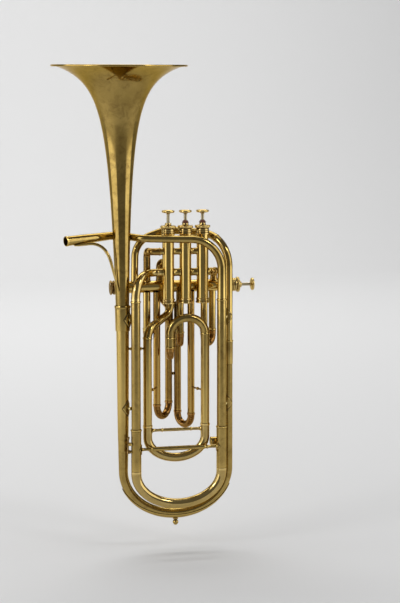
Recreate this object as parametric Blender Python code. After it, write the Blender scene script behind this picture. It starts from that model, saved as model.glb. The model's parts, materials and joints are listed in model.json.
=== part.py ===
"""Valve trombone, built from its separate tubes, valves, slides and stays.

Sizes below are in millimetres, the model is in metres. The origin is the flat
under the foot knob. +Z runs up to the bell rim, +X towards the fourth valve's
button and +Y to the rear, where the fourth valve lies across the others.
"""
import math

import bmesh
import bpy
from mathutils import Matrix, Vector

MM = 0.001
GAP = 0.3                      # clearance between pieces that touch or slide
LIP = 0.05                     # a step in a tube's outline leans by this much
BEND_STEP = math.radians(45.0)  # turn of a thin tube between two of its sections
WIDE_STEP = math.radians(30.0)  # the same for a main tube
WIDE_SIDES = 10                # facets round the main tubes
THIN_SIDES = 8                 # facets round the valve tubes
CASING_SIDES = 12
CAP_SIDES = 12
BELL_SIDES = 24
ROD_SIDES = 6

# Bell and bell branch
RIM_HEIGHT = 683.5
RIM_RADIUS = 98.0
RIM_BEAD = 1.6
FLARE_START = 24.0             # offset of the horn formula at the rim
FLARE_POWER = 0.833            # how fast the horn formula narrows
BELL_WALL = 0.8
BELL_LEAN = math.radians(0.5)
BELL_JOINT = 333.4             # height of the ferrule's upper edge
FERRULE_LENGTH = 37.4
FERRULE_LAP = 6.0              # how far the leg goes up into the ferrule
FERRULE_WALL = 0.7
BELL_INSET = 14.0              # how far the bell goes down into its ferrule
LEFT_X = -79.0                 # bell leg
RIGHT_X = 81.3                 # branch leg
BRANCH_JOINT = 277.0           # height where the branch tube meets the bell bow
BRANCH_SLEEVE = 48.0           # widened end of the bell bow that takes the branch tube
BRANCH_LAP = 7.5               # how far the branch tube goes down into it
BRANCH_AWAY = 1.6               # its turn behind valve 3, from that valve's centre
BRANCH_TOP = 429.0             # height of its corner on the right
BOW_BOTTOM = 18.4              # height of the bow's centre line
BOW_DROP = 66.6                # from the start of the bow's curve to its bottom
BELL_LEG_TOP_R = 9.5
BELL_LEG_MID_R = 8.2
BELL_LEG_MID = 150.0
BOW_R = 6.6
BRANCH_R = 6.0
BRANCH_END_R = 5.3
TUBE_WALL = 0.6
GUARD_THICK = 1.0
GUARD_WRAP = 74.0              # degrees to each side, at the bottom
GUARD_TIP = 16.0               # the same, at its ends
FOOT_BALL_R = 4.3
FOOT_FLAT_R = 1.9
FOOT_NECK_R = 2.2

# Main tuning slide, in front
TUNING_Y = -16.0
TUNING_LEFT_X = -62.5
TUNING_RIGHT_X = 66.8
TUNING_TOP = 341.2             # rings where the slide legs end
TUNING_FERRULE = 150.0         # upper end of the sleeves
TUNING_JOINT = 87.5            # lower end of the sleeves
TUNING_R = 6.9
SLEEVE_R = 7.5
SLEEVE_WALL = 0.6
TUNING_DROP = 47.0
TUNING_STRAIGHT = 4.5
TUNING_INSIDE = 58.0           # inner leg held in the sleeve
TUNING_BRACE_Z = 120.0
TUNING_BRACE_Y = -18.5
STUB_R = 6.3                   # short cross tube beside the right sleeve
STUB_Y = -4.0
STUB_Z = 126.0
STUB_GAP = 0.9                 # between its end and the wide slide's ferrule
KEY_Z = 129.0                  # height of the water key's pin
KEY_STAND = 3.8                # from the sleeve to the pin
KEY_HUB = 7.0
KEY_HUB_R = 2.1
KEY_PIN_R = 0.8
NIPPLE = 0.8                   # height of the nipple that the cork closes

# Valves
VALVE_X = -7.4                 # first valve
BETWEEN_CAPS = 3.05             # from one top cap's flange to the next
VALVE_Y = 14.0
CASING_R = 8.8
CASING_WALL = 1.0
CASING_BOTTOM = 335.0
CASING_LENGTH = 111.0
PORT_LOW = 44.0                # main windway above the casing's end
PORT_HIGH = 75.0               # upper windway above the casing's end
STROKE = 13.0
KNUCKLE_R = 5.6
KNUCKLE_HIGH_R = 4.8
PORT_WALL = 0.6
CAP_WALL = 0.7
CAP_SKIRT = 11.0               # how far a top cap reaches down its casing
CAP_SEAT = 1.5                 # top of the casing above the piston's end stop
CAP_FLANGE = 1.7               # how far a top cap's flange stands out
REAR_CAP_RIM = 1.0             # how far the fourth valve's bottom cap stands out
DOME_R = 4.7
STEM_R = 2.3
BUTTON_R = 9.5
STEM_SHOWN = 15.5
PISTON_FOOT = 17.0             # from the casing's end to the piston, at rest
SPRING_HOLE = 15.0             # depth of the hollow in the piston's foot
PISTON_TOP_PLAY = 2.0          # between the piston's top and the cap, at rest
SPRING_WIRE = 0.8
SPRING_R = 4.6
SPRING_TURNS = 5

# Fourth valve, lying across the back
REAR_SPACE = 2.4               # between the upright casings and the fourth
REAR_Y = VALVE_Y + 2 * CASING_R + REAR_SPACE
REAR_Z = 356.0
REAR_LEFT = -89.0
REAR_RIGHT = 103.0
REAR_PORTS = (53.5, 104.0, 155.5)  # windways of its piston, from the left end
LINK_X = -16.4                 # tubes from the upright valves down to it
LINK_RISE = 37.0
UPPER_LINK_X = -35.5
RIGHT_LINK_AWAY = 13.0          # from valve 3's casing to the link tube beside it

# Wide slide of the fourth valve
WIDE_Y = -5.0
WIDE_LEFT_X = -43.0
WIDE_RIGHT_X = 44.2
WIDE_LEFT_TOP = 283.0
WIDE_RIGHT_TOP = 289.0
WIDE_FERRULE = 154.0
WIDE_R = 6.4
WIDE_FERRULE_R = 7.1
WIDE_STRAIGHT = 18.5
WIDE_DROP = 31.5
WIDE_INSIDE = 100.0
ARCH_LEFT_X = -8.8
ARCH_RISE = 24.0
ARCH_END = 268.5               # lower end of the arch's short leg
SHORT_BACK_Y = 19.0

# Valve slides behind
VALVE_TUBE_R = 5.3
VALVE_TUBE_WALL = 0.5
LEG_INSET = 0.5                # front legs stand this far behind the casing's front
SHORT_GAP = 3.0                # clear space between the legs of a short slide
LONG_GAP = 1.8                 # clear space between a short slide and a long one
LONG_FRONT_Y = REAR_Y - CASING_R + VALVE_TUBE_R + LEG_INSET
SHORT_BACK = LONG_FRONT_Y + 2 * VALVE_TUBE_R + SHORT_GAP
LONG_BACK_Y = SHORT_BACK + 2 * VALVE_TUBE_R + LONG_GAP
BETWEEN_LONG = 3.2             # clear space between the two long slides, at the back
LONG_STEM = 60.0               # inner legs of the long slides
SHORT_STEM = 22.0              # inner legs of the short slides
S_BEND = (-0.7, LONG_FRONT_Y)  # top of the wide slide's left leg
FIRST_LONG = (-21.4, 2.0)      # X of the first valve's long slide, front and back leg
THIRD_LONG = (30.9, FIRST_LONG[1] + 2 * VALVE_TUBE_R + BETWEEN_LONG)
FIRST_SHORT = (-36.3, -34.0)   # X of the short slides, front and back leg
SECOND_SHORT = (14.5, 16.5)
THIRD_SHORT_AWAY = 6.3          # third one's front leg from valve 3's centre
THIRD_SHORT_BESIDE = 0.3        # its back leg from the link tube's centre
THIRD_PORT_X = SECOND_SHORT[1] + 2 * VALVE_TUBE_R + 0.4  # its back leg clears a short slide
RETURN_BEND = 0.9               # how far the inner wall of its last bend is from the centre
RETURN_X = 1.0                 # return tube of the wide slide
RETURN_Y = SHORT_BACK + 0.2
RETURN_PORT_X = -11.0
FLANGE_TALL = 11.2             # half height of a stay's diamond flange
FLANGE_WIDE = 9.2              # half width, measured round the tube
FLANGE_THICK = 0.8


def valve_x(number):
    """Axis of an upright valve, counted from 1."""
    return VALVE_X + (number - 1) * valve_pitch()


def valve_pitch():
    """The valves stand as close as their top caps allow."""
    return 2 * (CASING_R + GAP + CAP_WALL + CAP_FLANGE) + BETWEEN_CAPS


def right_link_x():
    return valve_x(3) + CASING_R + RIGHT_LINK_AWAY


def clean_scene():
    for obj in list(bpy.data.objects):
        bpy.data.objects.remove(obj, do_unlink=True)


def finish(name, colour, roughness=0.3, metallic=1.0):
    """A plain Principled material, made once and shared by its name."""
    found = bpy.data.materials.get(name)
    if found:
        return found
    made = bpy.data.materials.new(name)
    made.use_nodes = True
    shader = made.node_tree.nodes["Principled BSDF"]
    shader.inputs["Base Color"].default_value = (*colour, 1.0)
    shader.inputs["Roughness"].default_value = roughness
    shader.inputs["Metallic"].default_value = metallic
    return made


def brass():
    return finish("aged_brass", (0.47, 0.33, 0.12))


def bright_brass():
    return finish("bright_brass", (0.62, 0.45, 0.18), 0.22)


def red_brass():
    return finish("red_brass", (0.36, 0.19, 0.08), 0.35)


def steel():
    return finish("spring_steel", (0.45, 0.44, 0.42), 0.35)


# Centre lines: each entry is (distance along, point, heading, across)

def with_measure(points, headings, across):
    """Add the distance along the line and a section direction that doesn't twist."""
    line = []
    distance = 0.0
    side = (across - headings[0] * across.dot(headings[0])).normalized()
    for index, (point, heading) in enumerate(zip(points, headings)):
        if index:
            distance += (point - points[index - 1]).length
            side = headings[index - 1].rotation_difference(heading) @ side
        line.append((distance, point, heading, side))
    return line


def bent_line(corners, bends, across=(0, 1, 0), step=BEND_STEP):
    """Straight runs through the corners, each inner corner rounded to its radius."""
    corners = [Vector(corner) for corner in corners]
    points = [corners[0]]
    headings = [(corners[1] - corners[0]).normalized()]
    for before, corner, after, radius in zip(corners, corners[1:], corners[2:], bends):
        arriving = (corner - before).normalized()
        leaving = (after - corner).normalized()
        turn = arriving.angle(leaving)
        reach = radius * math.tan(turn / 2)
        axis = arriving.cross(leaving).normalized()
        start = corner - arriving * reach
        centre = start + axis.cross(arriving) * radius
        count = max(1, round(turn / step))
        for index in range(count + 1):
            rotation = Matrix.Rotation(turn * index / count, 3, axis)
            points.append(centre + rotation @ (start - centre))
            headings.append(rotation @ arriving)
    points.append(corners[-1])
    headings.append((corners[-1] - corners[-2]).normalized())
    return with_measure(points, headings, Vector(across))


def bow_line(left, right, drop, left_leg, right_leg, up=False, steps=12):
    """A flattened U: two upright legs and half an ellipse between their ends.

    left and right are the ends of the curve; the legs are lengths beyond them.
    """
    left = Vector(left)
    right = Vector(right)
    middle = (left + right) / 2
    half = (right - left) / 2
    rise = Vector((0, 0, drop if up else -drop))
    legs = Vector((0, 0, -1 if up else 1))
    points = [left + legs * left_leg]
    headings = [-legs]
    for index in range(steps + 1):
        angle = math.pi * index / steps
        points.append(middle - half * math.cos(angle) + rise * math.sin(angle))
        headings.append((half * math.sin(angle) + rise * math.cos(angle)).normalized())
    points.append(right + legs * right_leg)
    headings.append(legs)
    return with_measure(points, headings, rise.cross(half).normalized())


def leg_facets(front, back):
    """Section directions that line up a slide's two fixed legs with its bow.

    The first is for a leg that runs straight down, the second for one that
    starts rearwards and turns down.
    """
    spread = (Vector(back) - Vector(front)).normalized()
    return (spread.y, -spread.x, 0), (spread.y, 0, -spread.x)


def length_of(line):
    return line[-1][0]


def place_on(line, distance):
    """Point, heading and across at a distance along a line."""
    for (d0, p0, h0, a0), (d1, p1, h1, a1) in zip(line, line[1:]):
        if distance <= d1 + 1e-6:
            part = (distance - d0) / (d1 - d0) if d1 > d0 else 0.0
            return p0.lerp(p1, part), h0.lerp(h1, part).normalized(), a0.lerp(a1, part).normalized()
    return line[-1][1:]


def radius_on(outline, distance):
    """Radius of an outline, a list of (distance, radius), at a distance."""
    for (d0, r0), (d1, r1) in zip(outline, outline[1:]):
        if distance <= d1:
            return r0 if d1 == d0 else r0 + (r1 - r0) * (distance - d0) / (d1 - d0)
    return outline[-1][1]


def sections(line, outline):
    """Every (distance, radius) that a tube needs: its outline's and its bends'."""
    start = outline[0][0]
    end = outline[-1][0]
    wanted = []
    for distance, radius in outline:
        if wanted and distance < wanted[-1][0] + LIP:
            distance = wanted[-1][0] + LIP
        wanted.append((distance, radius))
    for distance, *_ in line:
        near = any(abs(distance - mark) < 0.35 for mark, _ in outline)
        if start < distance < end and not near:
            wanted.append((distance, radius_on(outline, distance)))
    return sorted(wanted, key=lambda pair: pair[0])


def add_ring(bm, place, radius, sides, cap=False):
    """One round section; returns its edges."""
    point, heading, across = place
    frame = Matrix((across, heading.cross(across), heading)).transposed().to_4x4()
    matrix = Matrix.Translation(point) @ frame
    made = bmesh.ops.create_circle(bm, cap_ends=cap, radius=radius, segments=sides, matrix=matrix)
    corners = set(made["verts"])
    return [edge for edge in {e for v in corners for e in v.link_edges}
            if edge.verts[0] in corners and edge.verts[1] in corners]


def add_skin(bm, line, outline, sides, capped):
    """Join the sections of a tube one to the next; returns its first and last ring."""
    rings = []
    wanted = sections(line, outline)
    for index, (distance, radius) in enumerate(wanted):
        end = index in (0, len(wanted) - 1)
        rings.append(add_ring(bm, place_on(line, distance), radius, sides, capped and end))
    for ring, following in zip(rings, rings[1:]):
        bmesh.ops.bridge_loops(bm, edges=ring + following)
    return rings[0], rings[-1]


def pipe_mesh(line, outline, bore=None, sides=THIN_SIDES):
    """A solid rod along a line or, with a bore's outline, an open tube."""
    bm = bmesh.new()
    first, last = add_skin(bm, line, outline, sides, bore is None)
    if bore:
        bore = [(bore[0][0] + LIP, bore[0][1]), *bore[1:-1], (bore[-1][0] - LIP, bore[-1][1])]
        inner_first, inner_last = add_skin(bm, line, bore, sides, False)
        bmesh.ops.bridge_loops(bm, edges=first + inner_first)
        bmesh.ops.bridge_loops(bm, edges=last + inner_last)
    return bm


def turned_mesh(outline, sides, base=(0, 0, 0), axis=(0, 0, 1)):
    """Spin an outline of (radius, height) once round an axis that starts at base.

    The outline runs from the axis back to the axis, or closes on itself.
    """
    bm = bmesh.new()
    spots = [bm.verts.new((radius, 0, height)) for radius, height in outline]
    hollow = outline[0][0] > 0
    pairs = list(zip(spots, spots[1:])) + ([(spots[-1], spots[0])] if hollow else [])
    edges = [bm.edges.new(pair) for pair in pairs]
    bmesh.ops.spin(bm, geom=spots + edges, cent=(0, 0, 0), axis=(0, 0, 1),
                   angle=2 * math.pi, steps=sides, use_merge=True)
    bmesh.ops.remove_doubles(bm, verts=bm.verts, dist=1e-4)
    turn = Vector((0, 0, 1)).rotation_difference(Vector(axis)).to_matrix().to_4x4()
    bmesh.ops.transform(bm, matrix=Matrix.Translation(base) @ turn, verts=bm.verts)
    return bm


def strap_mesh(line, radius, thick, wraps, arc_steps=4):
    """A thin plate wrapped on a tube, wraps[i] degrees to each side of across at station i."""
    bm = bmesh.new()
    previous = None
    for (_, point, heading, across), tube_r, wrap in zip(line, radius, wraps):
        beside = heading.cross(across)
        clear = tube_r / math.cos(math.radians(wrap) / arc_steps)
        under = []
        over = []
        for index in range(arc_steps + 1):
            angle = math.radians(wrap) * (2 * index / arc_steps - 1)
            way = across * math.cos(angle) + beside * math.sin(angle)
            under.append(bm.verts.new(point + way * clear))
            over.append(bm.verts.new(point + way * (clear + thick)))
        loop = under + over[::-1]
        edges = [bm.edges.new((loop[i - 1], loop[i])) for i in range(len(loop))]
        if previous:
            bmesh.ops.bridge_loops(bm, edges=previous + edges)
        else:
            first = edges
        previous = edges
    bmesh.ops.contextual_create(bm, geom=first)
    bmesh.ops.contextual_create(bm, geom=previous)
    return bm


def add_piece(name, bm, material, origin=(0, 0, 0), smooth=40.0):
    """Make a named object from a mesh in millimetres, its origin at the given point."""
    bmesh.ops.recalc_face_normals(bm, faces=bm.faces)
    shift = Matrix.Scale(MM, 4) @ Matrix.Translation(-Vector(origin))
    bmesh.ops.transform(bm, matrix=shift, verts=bm.verts)
    mesh = bpy.data.meshes.new(name)
    bm.to_mesh(mesh)
    bm.free()
    mesh.materials.append(material)
    mesh.shade_smooth()
    mesh.set_sharp_from_angle(angle=math.radians(smooth))
    obj = bpy.data.objects.new(name, mesh)
    obj.location = Vector(origin) * MM
    bpy.context.scene.collection.objects.link(obj)
    return obj


def combine(obj, kind, tools):
    """Union with or cut by meshes in millimetres, and keep only the result."""
    cutters = []
    for index, bm in enumerate(tools):
        cutter = add_piece(f"tool_{obj.name}_{kind.lower()}_{index}", bm, brass())
        cutter.hide_render = True
        cutter.display_type = 'WIRE'
        change = obj.modifiers.new(cutter.name, 'BOOLEAN')
        change.operation = kind
        change.object = cutter
        cutters.append(cutter)
    bpy.context.view_layer.update()
    graph = bpy.context.evaluated_depsgraph_get()
    mesh = bpy.data.meshes.new_from_object(obj.evaluated_get(graph))
    obj.modifiers.clear()
    obj.data = mesh
    for cutter in cutters:
        bpy.data.objects.remove(cutter, do_unlink=True)
    mesh.shade_smooth()
    mesh.set_sharp_from_angle(angle=math.radians(40.0))
    return obj


def carry(child, parent):
    """Hang a piece on another, without moving it."""
    child.location = child.location - parent.location
    child.parent = parent


def cylinder(start, end, radius, sides=THIN_SIDES, across=(0, 1, 0)):
    """A plain rod between two points."""
    line = bent_line([start, end], [], across)
    return pipe_mesh(line, [(0, radius), (length_of(line), radius)], None, sides)


def box(low, high):
    """A plain block between two corners."""
    low = Vector(low)
    high = Vector(high)
    bm = bmesh.new()
    size = Matrix.Diagonal((*(high - low), 1.0))
    bmesh.ops.create_cube(bm, size=1.0, matrix=Matrix.Translation((low + high) / 2) @ size)
    return bm


def bead(at, radius, half, swell, length):
    """Outline points of a raised ring on a tube, round its distance `at`."""
    low = max(0.0, at - half)
    high = min(length, at + half)
    points = [(low, radius + swell), (high, radius + swell)]
    if low > 0:
        points.insert(0, (low, radius))
    if high < length:
        points.append((high, radius))
    return points


# Bell and bell branch

def flare_radius(below_rim):
    """Outer radius of the horn at a distance below its rim."""
    return RIM_RADIUS * (FLARE_START / (below_rim + FLARE_START)) ** FLARE_POWER


def bell_end():
    return BELL_JOINT - BELL_INSET


def build_bell():
    """The flare: a horn curve turned round, with a rolled wire at the rim."""
    depth = RIM_HEIGHT - bell_end()
    stations = 9
    marks = [depth * (index / stations) ** 2.2 for index in range(stations + 1)]
    outer = [(flare_radius(mark), -mark) for mark in marks]
    inner = [(radius - BELL_WALL, height) for radius, height in outer[1:]]
    rim = [(RIM_RADIUS - RIM_BEAD * (1 - math.cos(math.radians(angle))) * 0.9,
            RIM_BEAD * math.sin(math.radians(angle)) * 0.9 - 0.4) for angle in (60, 130)]
    outline = [(RIM_RADIUS + 1.0, -1.4), (RIM_RADIUS + 1.4, 0.0)] + rim
    outline += [(RIM_RADIUS - 2.4, -0.9)] + inner + outer[:1:-1]
    outline += [(outer[1][0] + 0.1, outer[1][1])]
    bm = turned_mesh([(radius, height + depth) for radius, height in outline], BELL_SIDES)
    bell = add_piece("bell", bm, brass())
    bell.location = Vector((LEFT_X, 0, bell_end())) * MM
    bell.rotation_euler = (0, -BELL_LEAN, 0)


def bell_leg_radius():
    """Outline of the bell leg and bow, measured down from the ferrule's lower end."""
    return [(BELL_JOINT - FERRULE_LENGTH + FERRULE_LAP, BELL_LEG_TOP_R), (BELL_LEG_MID, BELL_LEG_MID_R),
            (BOW_BOTTOM + BOW_DROP, BOW_R + 0.2)]


def build_bell_ferrule():
    """The sleeve that joins the bell to its leg."""
    low = BELL_JOINT - FERRULE_LENGTH + FERRULE_LAP
    bell_r = flare_radius(RIM_HEIGHT - BELL_JOINT) + GAP + 0.4
    leg_r = BELL_LEG_TOP_R + GAP + 0.2
    seat = bell_end() - GAP
    top_r = bell_r + FERRULE_WALL
    foot = low - FERRULE_LAP
    step_r = BELL_LEG_TOP_R - 1.5
    outline = [(leg_r, foot), (leg_r + FERRULE_WALL, foot), (top_r, BELL_JOINT - 3),
               (top_r + 0.7, BELL_JOINT - 2.4), (top_r + 0.7, BELL_JOINT - 0.6),
               (top_r, BELL_JOINT), (bell_r, BELL_JOINT), (bell_r, seat),
               (step_r, seat), (step_r, low + GAP), (leg_r, low + GAP)]
    add_piece("bell_ferrule", turned_mesh(outline, CAP_SIDES, (LEFT_X, 0, 0)), brass())


def bell_bow_line():
    height = BOW_BOTTOM + BOW_DROP
    return bow_line((LEFT_X, 0, height), (RIGHT_X, 0, height), BOW_DROP,
                    BELL_JOINT - FERRULE_LENGTH + FERRULE_LAP - height, BRANCH_JOINT - height, steps=9)


def build_bell_bow():
    """Bell leg, bottom bow and branch leg: one long cone bent to a U."""
    line = bell_bow_line()
    top = BELL_JOINT - FERRULE_LENGTH + FERRULE_LAP
    end = length_of(line)
    legs = BOW_BOTTOM + BOW_DROP
    middle = (top - legs + end - (BRANCH_JOINT - legs)) / 2
    outline = [(top - height, radius) for height, radius in bell_leg_radius()]
    sleeve = end - BRANCH_SLEEVE
    outline += [(middle, BOW_R), (end - (BRANCH_JOINT - legs), BRANCH_R + 0.1),
                (sleeve, BRANCH_R), (sleeve, BRANCH_R + 0.5), (end - 2.4, BRANCH_R + 0.5),
                (end - 2.4, BRANCH_R + 1.0), (end, BRANCH_R + 1.0)]
    bore = [(distance, radius - TUBE_WALL) for distance, radius in outline[:-5]]
    bore += [(end - 8, BRANCH_R - TUBE_WALL), (end - 8, BRANCH_R - 0.2), (end, BRANCH_R - 0.2)]
    add_piece("bell_bow", pipe_mesh(line, outline, bore, WIDE_SIDES), brass())
    return line, outline


def build_bow_guard(line, outline):
    """The crescent plate that takes the knocks, under the bow."""
    stops = [entry for entry in line if entry[1].z < BOW_BOTTOM + BOW_DROP - 14]
    count = len(stops)
    radii = [radius_on(outline, entry[0]) + GAP for entry in stops]
    wraps = [GUARD_TIP + (GUARD_WRAP - GUARD_TIP) * math.sin(math.pi * index / (count - 1))
             for index in range(count)]
    side = 1 if stops[count // 2][3].cross(stops[count // 2][2]).z < 0 else -1
    outward = [(distance, point, heading, side * across.cross(heading))
               for distance, point, heading, across in stops]
    add_piece("bow_guard", strap_mesh(outward, radii, GUARD_THICK, wraps, 4), brass())


def build_foot_knob():
    """A turned knob under the bow; its end is worn flat."""
    top = BOW_BOTTOM - BOW_R - GAP - GUARD_THICK - GAP - 0.1
    ball = FOOT_BALL_R
    outline = [(0, 0), (FOOT_FLAT_R, 0)]
    for angle in (-35, -5, 25, 50):
        turn = math.radians(angle)
        outline.append((ball * math.cos(turn), ball * (1 + math.sin(turn)) * 0.98))
    outline += [(FOOT_NECK_R, top - 1.6), (ball - 0.2, top - 1.2), (ball - 0.2, top), (0, top)]
    add_piece("foot_knob", turned_mesh(outline, 10), brass())


def branch_line():
    """From the right leg up, back over the valves and down to the fourth valve."""
    back = REAR_Y + 4
    return bent_line([(RIGHT_X, 0, BRANCH_JOINT - BRANCH_LAP), (RIGHT_X, 0, BRANCH_TOP),
                      (valve_x(3) + BRANCH_AWAY, back + 7, 435), (-5, back + 3, 440), (-52.5, back, 424),
                      (-54.4, REAR_Y, REAR_Z)],
                     [46, 17, 60, 34], (0, 1, 0), WIDE_STEP)


def build_branch():
    line = branch_line()
    end = length_of(line)
    lap = BRANCH_LAP + GAP
    outline = [(0, BRANCH_R - 0.5), (lap, BRANCH_R - 0.5), (lap, BRANCH_R), (end, BRANCH_END_R)]
    bore = [(0, BRANCH_R - 0.9), (lap, BRANCH_R - 0.9), (end, BRANCH_END_R - TUBE_WALL)]
    branch = add_piece("branch_tube", pipe_mesh(line, outline, bore, WIDE_SIDES), brass())
    combine(branch, 'DIFFERENCE', [rear_clearance()])


# Mouthpipe

def mouthpipe_line():
    return bent_line([(-162.5, 0, 429.6), (-83, 27.0, 434.8), (-45, -2, 431),
                      (TUNING_RIGHT_X, TUNING_Y, 429), (TUNING_RIGHT_X, TUNING_Y, TUNING_TOP + GAP)],
                     [30, 40, 45], (0, 1, 0), WIDE_STEP)


def build_mouthpipe():
    """Receiver and mouthpipe: past the back of the bell, then across the valves."""
    line = mouthpipe_line()
    end = length_of(line)
    outline = [(0, 7.6), (2.4, 7.2), (30, 6.9), (80, 5.7), (125, 5.2), (end, TUNING_R - GAP)]
    bore = [(0, 6.3), (30, 5.6), (125, 4.5), (end, TUNING_R - GAP - TUBE_WALL)]
    add_piece("mouthpipe", pipe_mesh(line, outline, bore, WIDE_SIDES), brass())


def build_mouthpipe_brace():
    """A tapering strut from under the receiver down to the bell."""
    line = bent_line([(-150, 3.2, 420.4), (-111, 5, 426), (-99, -6, 406.5), (-86.6, -9.4, 356)],
                     [22, 40], (0, 1, 0))
    end = length_of(line)
    outline = [(0, 1.2), (3, 2.2), (end * 0.5, 2.2), (end, 1.1)]
    add_piece("mouthpipe_brace", pipe_mesh(line, outline, None, ROD_SIDES), brass())


# Main tuning slide

def build_tuning_legs():
    """Fixed legs: a tube above, and a wider sleeve that holds the slide."""
    for name, x in (("tuning_leg_left", TUNING_LEFT_X), ("tuning_leg_right", TUNING_RIGHT_X)):
        line = bent_line([(x, TUNING_Y, TUNING_TOP), (x, TUNING_Y, TUNING_JOINT + GAP)], [])
        end = length_of(line)
        step = TUNING_TOP - TUNING_FERRULE
        outline = [(0, TUNING_R + 0.6), (2.4, TUNING_R + 0.6), (2.4, TUNING_R), (step - 1, TUNING_R),
                   (step, SLEEVE_R + 0.6), (step + 2.2, SLEEVE_R + 0.6), (step + 2.2, SLEEVE_R),
                   (end, SLEEVE_R)]
        wide = SLEEVE_R - SLEEVE_WALL
        bore = [(0, TUNING_R - TUBE_WALL), (step + 3, TUNING_R - TUBE_WALL), (step + 3, wide),
                (end, wide)]
        add_piece(name, pipe_mesh(line, outline, bore, THIN_SIDES), brass())


def slide_mesh(left, right, straight, drop, inside, outer_r, inner_r, ferrule=None, steps=12, sides=12):
    """A U bow with thinner inner legs; left and right are its upper joints."""
    left = Vector(left)
    right = Vector(right)
    down = Vector((0, 0, -straight))
    line = bow_line(left + down, right + down, drop, straight + inside, straight + inside, steps=steps)
    end = length_of(line)
    rise = 2.0
    outline = [(0, inner_r), (inside, inner_r)]
    if ferrule:
        outline += [(inside, ferrule), (inside + rise, ferrule), (inside + rise, outer_r)]
    else:
        outline += [(inside, outer_r)]
    outline += [(end - d, r) for d, r in reversed(outline)]
    bore = [(0, inner_r - VALVE_TUBE_WALL), (end, inner_r - VALVE_TUBE_WALL)]
    return pipe_mesh(line, outline, bore, sides)


def build_tuning_slide():
    joint = TUNING_JOINT
    bm = slide_mesh((TUNING_LEFT_X, TUNING_Y, joint), (TUNING_RIGHT_X, TUNING_Y, joint),
                    TUNING_STRAIGHT, TUNING_DROP, TUNING_INSIDE, SLEEVE_R, SLEEVE_R - SLEEVE_WALL - GAP,
                    steps=8, sides=THIN_SIDES)
    add_piece("main_tuning_slide", bm, bright_brass(), (0, TUNING_Y, joint))


def build_tuning_brace():
    """The turned brace between the sleeves, in front of the wide slide."""
    left = TUNING_LEFT_X + 4.4
    right = TUNING_RIGHT_X - 4.4
    line = bent_line([(left, TUNING_BRACE_Y, TUNING_BRACE_Z), (right, TUNING_BRACE_Y, TUNING_BRACE_Z)],
                     [], (0, 0, 1))
    end = length_of(line)
    half = [(0, 2.0), (18, 2.0), (18, 2.8), (20, 2.8), (20, 2.4), (24, 2.9)]
    outline = half + [(end - d, r) for d, r in reversed(half)]
    brace = add_piece("tuning_brace", pipe_mesh(line, outline, None, ROD_SIDES), brass())
    cuts = []
    for x in (TUNING_LEFT_X, TUNING_RIGHT_X):
        cuts.append(cylinder((x, TUNING_Y, TUNING_BRACE_Z - 12), (x, TUNING_Y, TUNING_BRACE_Z + 12),
                             SLEEVE_R + GAP, THIN_SIDES))
    combine(brace, 'DIFFERENCE', cuts)


def build_entry_bow():
    """From the left slide leg into the first valve."""
    port = CASING_BOTTOM + PORT_LOW
    line = bent_line([(TUNING_LEFT_X, TUNING_Y, TUNING_TOP + GAP), (TUNING_LEFT_X, TUNING_Y, port),
                      (VALVE_X - 28.6, VALVE_Y, port), (VALVE_X - CASING_R - 2.6 - GAP, VALVE_Y, port)],
                     [33, 15], (0, 1, 0), WIDE_STEP)
    end = length_of(line)
    low = TUNING_R - GAP
    outline = [(0, low), (20, low), (end - 5.5, KNUCKLE_R), (end - 4.5, KNUCKLE_R + 0.7),
               (end - 3.5, KNUCKLE_R), (end, KNUCKLE_R)]
    bore = [(0, low - TUBE_WALL), (end, KNUCKLE_R - PORT_WALL)]
    add_piece("entry_bow", pipe_mesh(line, outline, bore, THIN_SIDES), bright_brass())


# Valves: every valve is described by the foot of its axis and the way it points

def valve_frames():
    """Base point and direction of the four casings."""
    frames = {}
    for number in (1, 2, 3):
        frames[number] = (Vector((valve_x(number), VALVE_Y, CASING_BOTTOM)), Vector((0, 0, 1)),
                          CASING_LENGTH)
    frames[4] = (Vector((REAR_LEFT, REAR_Y, REAR_Z)), Vector((1, 0, 0)), REAR_RIGHT - REAR_LEFT)
    return frames


def rear_clearance(extra=GAP):
    """The space of the fourth casing, to shape what meets it."""
    return cylinder((REAR_LEFT - 5, REAR_Y, REAR_Z), (REAR_RIGHT + 5, REAR_Y, REAR_Z),
                    CASING_R + extra, CASING_SIDES)


def upright_clearance(number, extra=GAP):
    x = valve_x(number)
    return cylinder((x, VALVE_Y, CASING_BOTTOM - 5), (x, VALVE_Y, CASING_BOTTOM + CASING_LENGTH + 5),
                    CASING_R + extra, CASING_SIDES)


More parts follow.
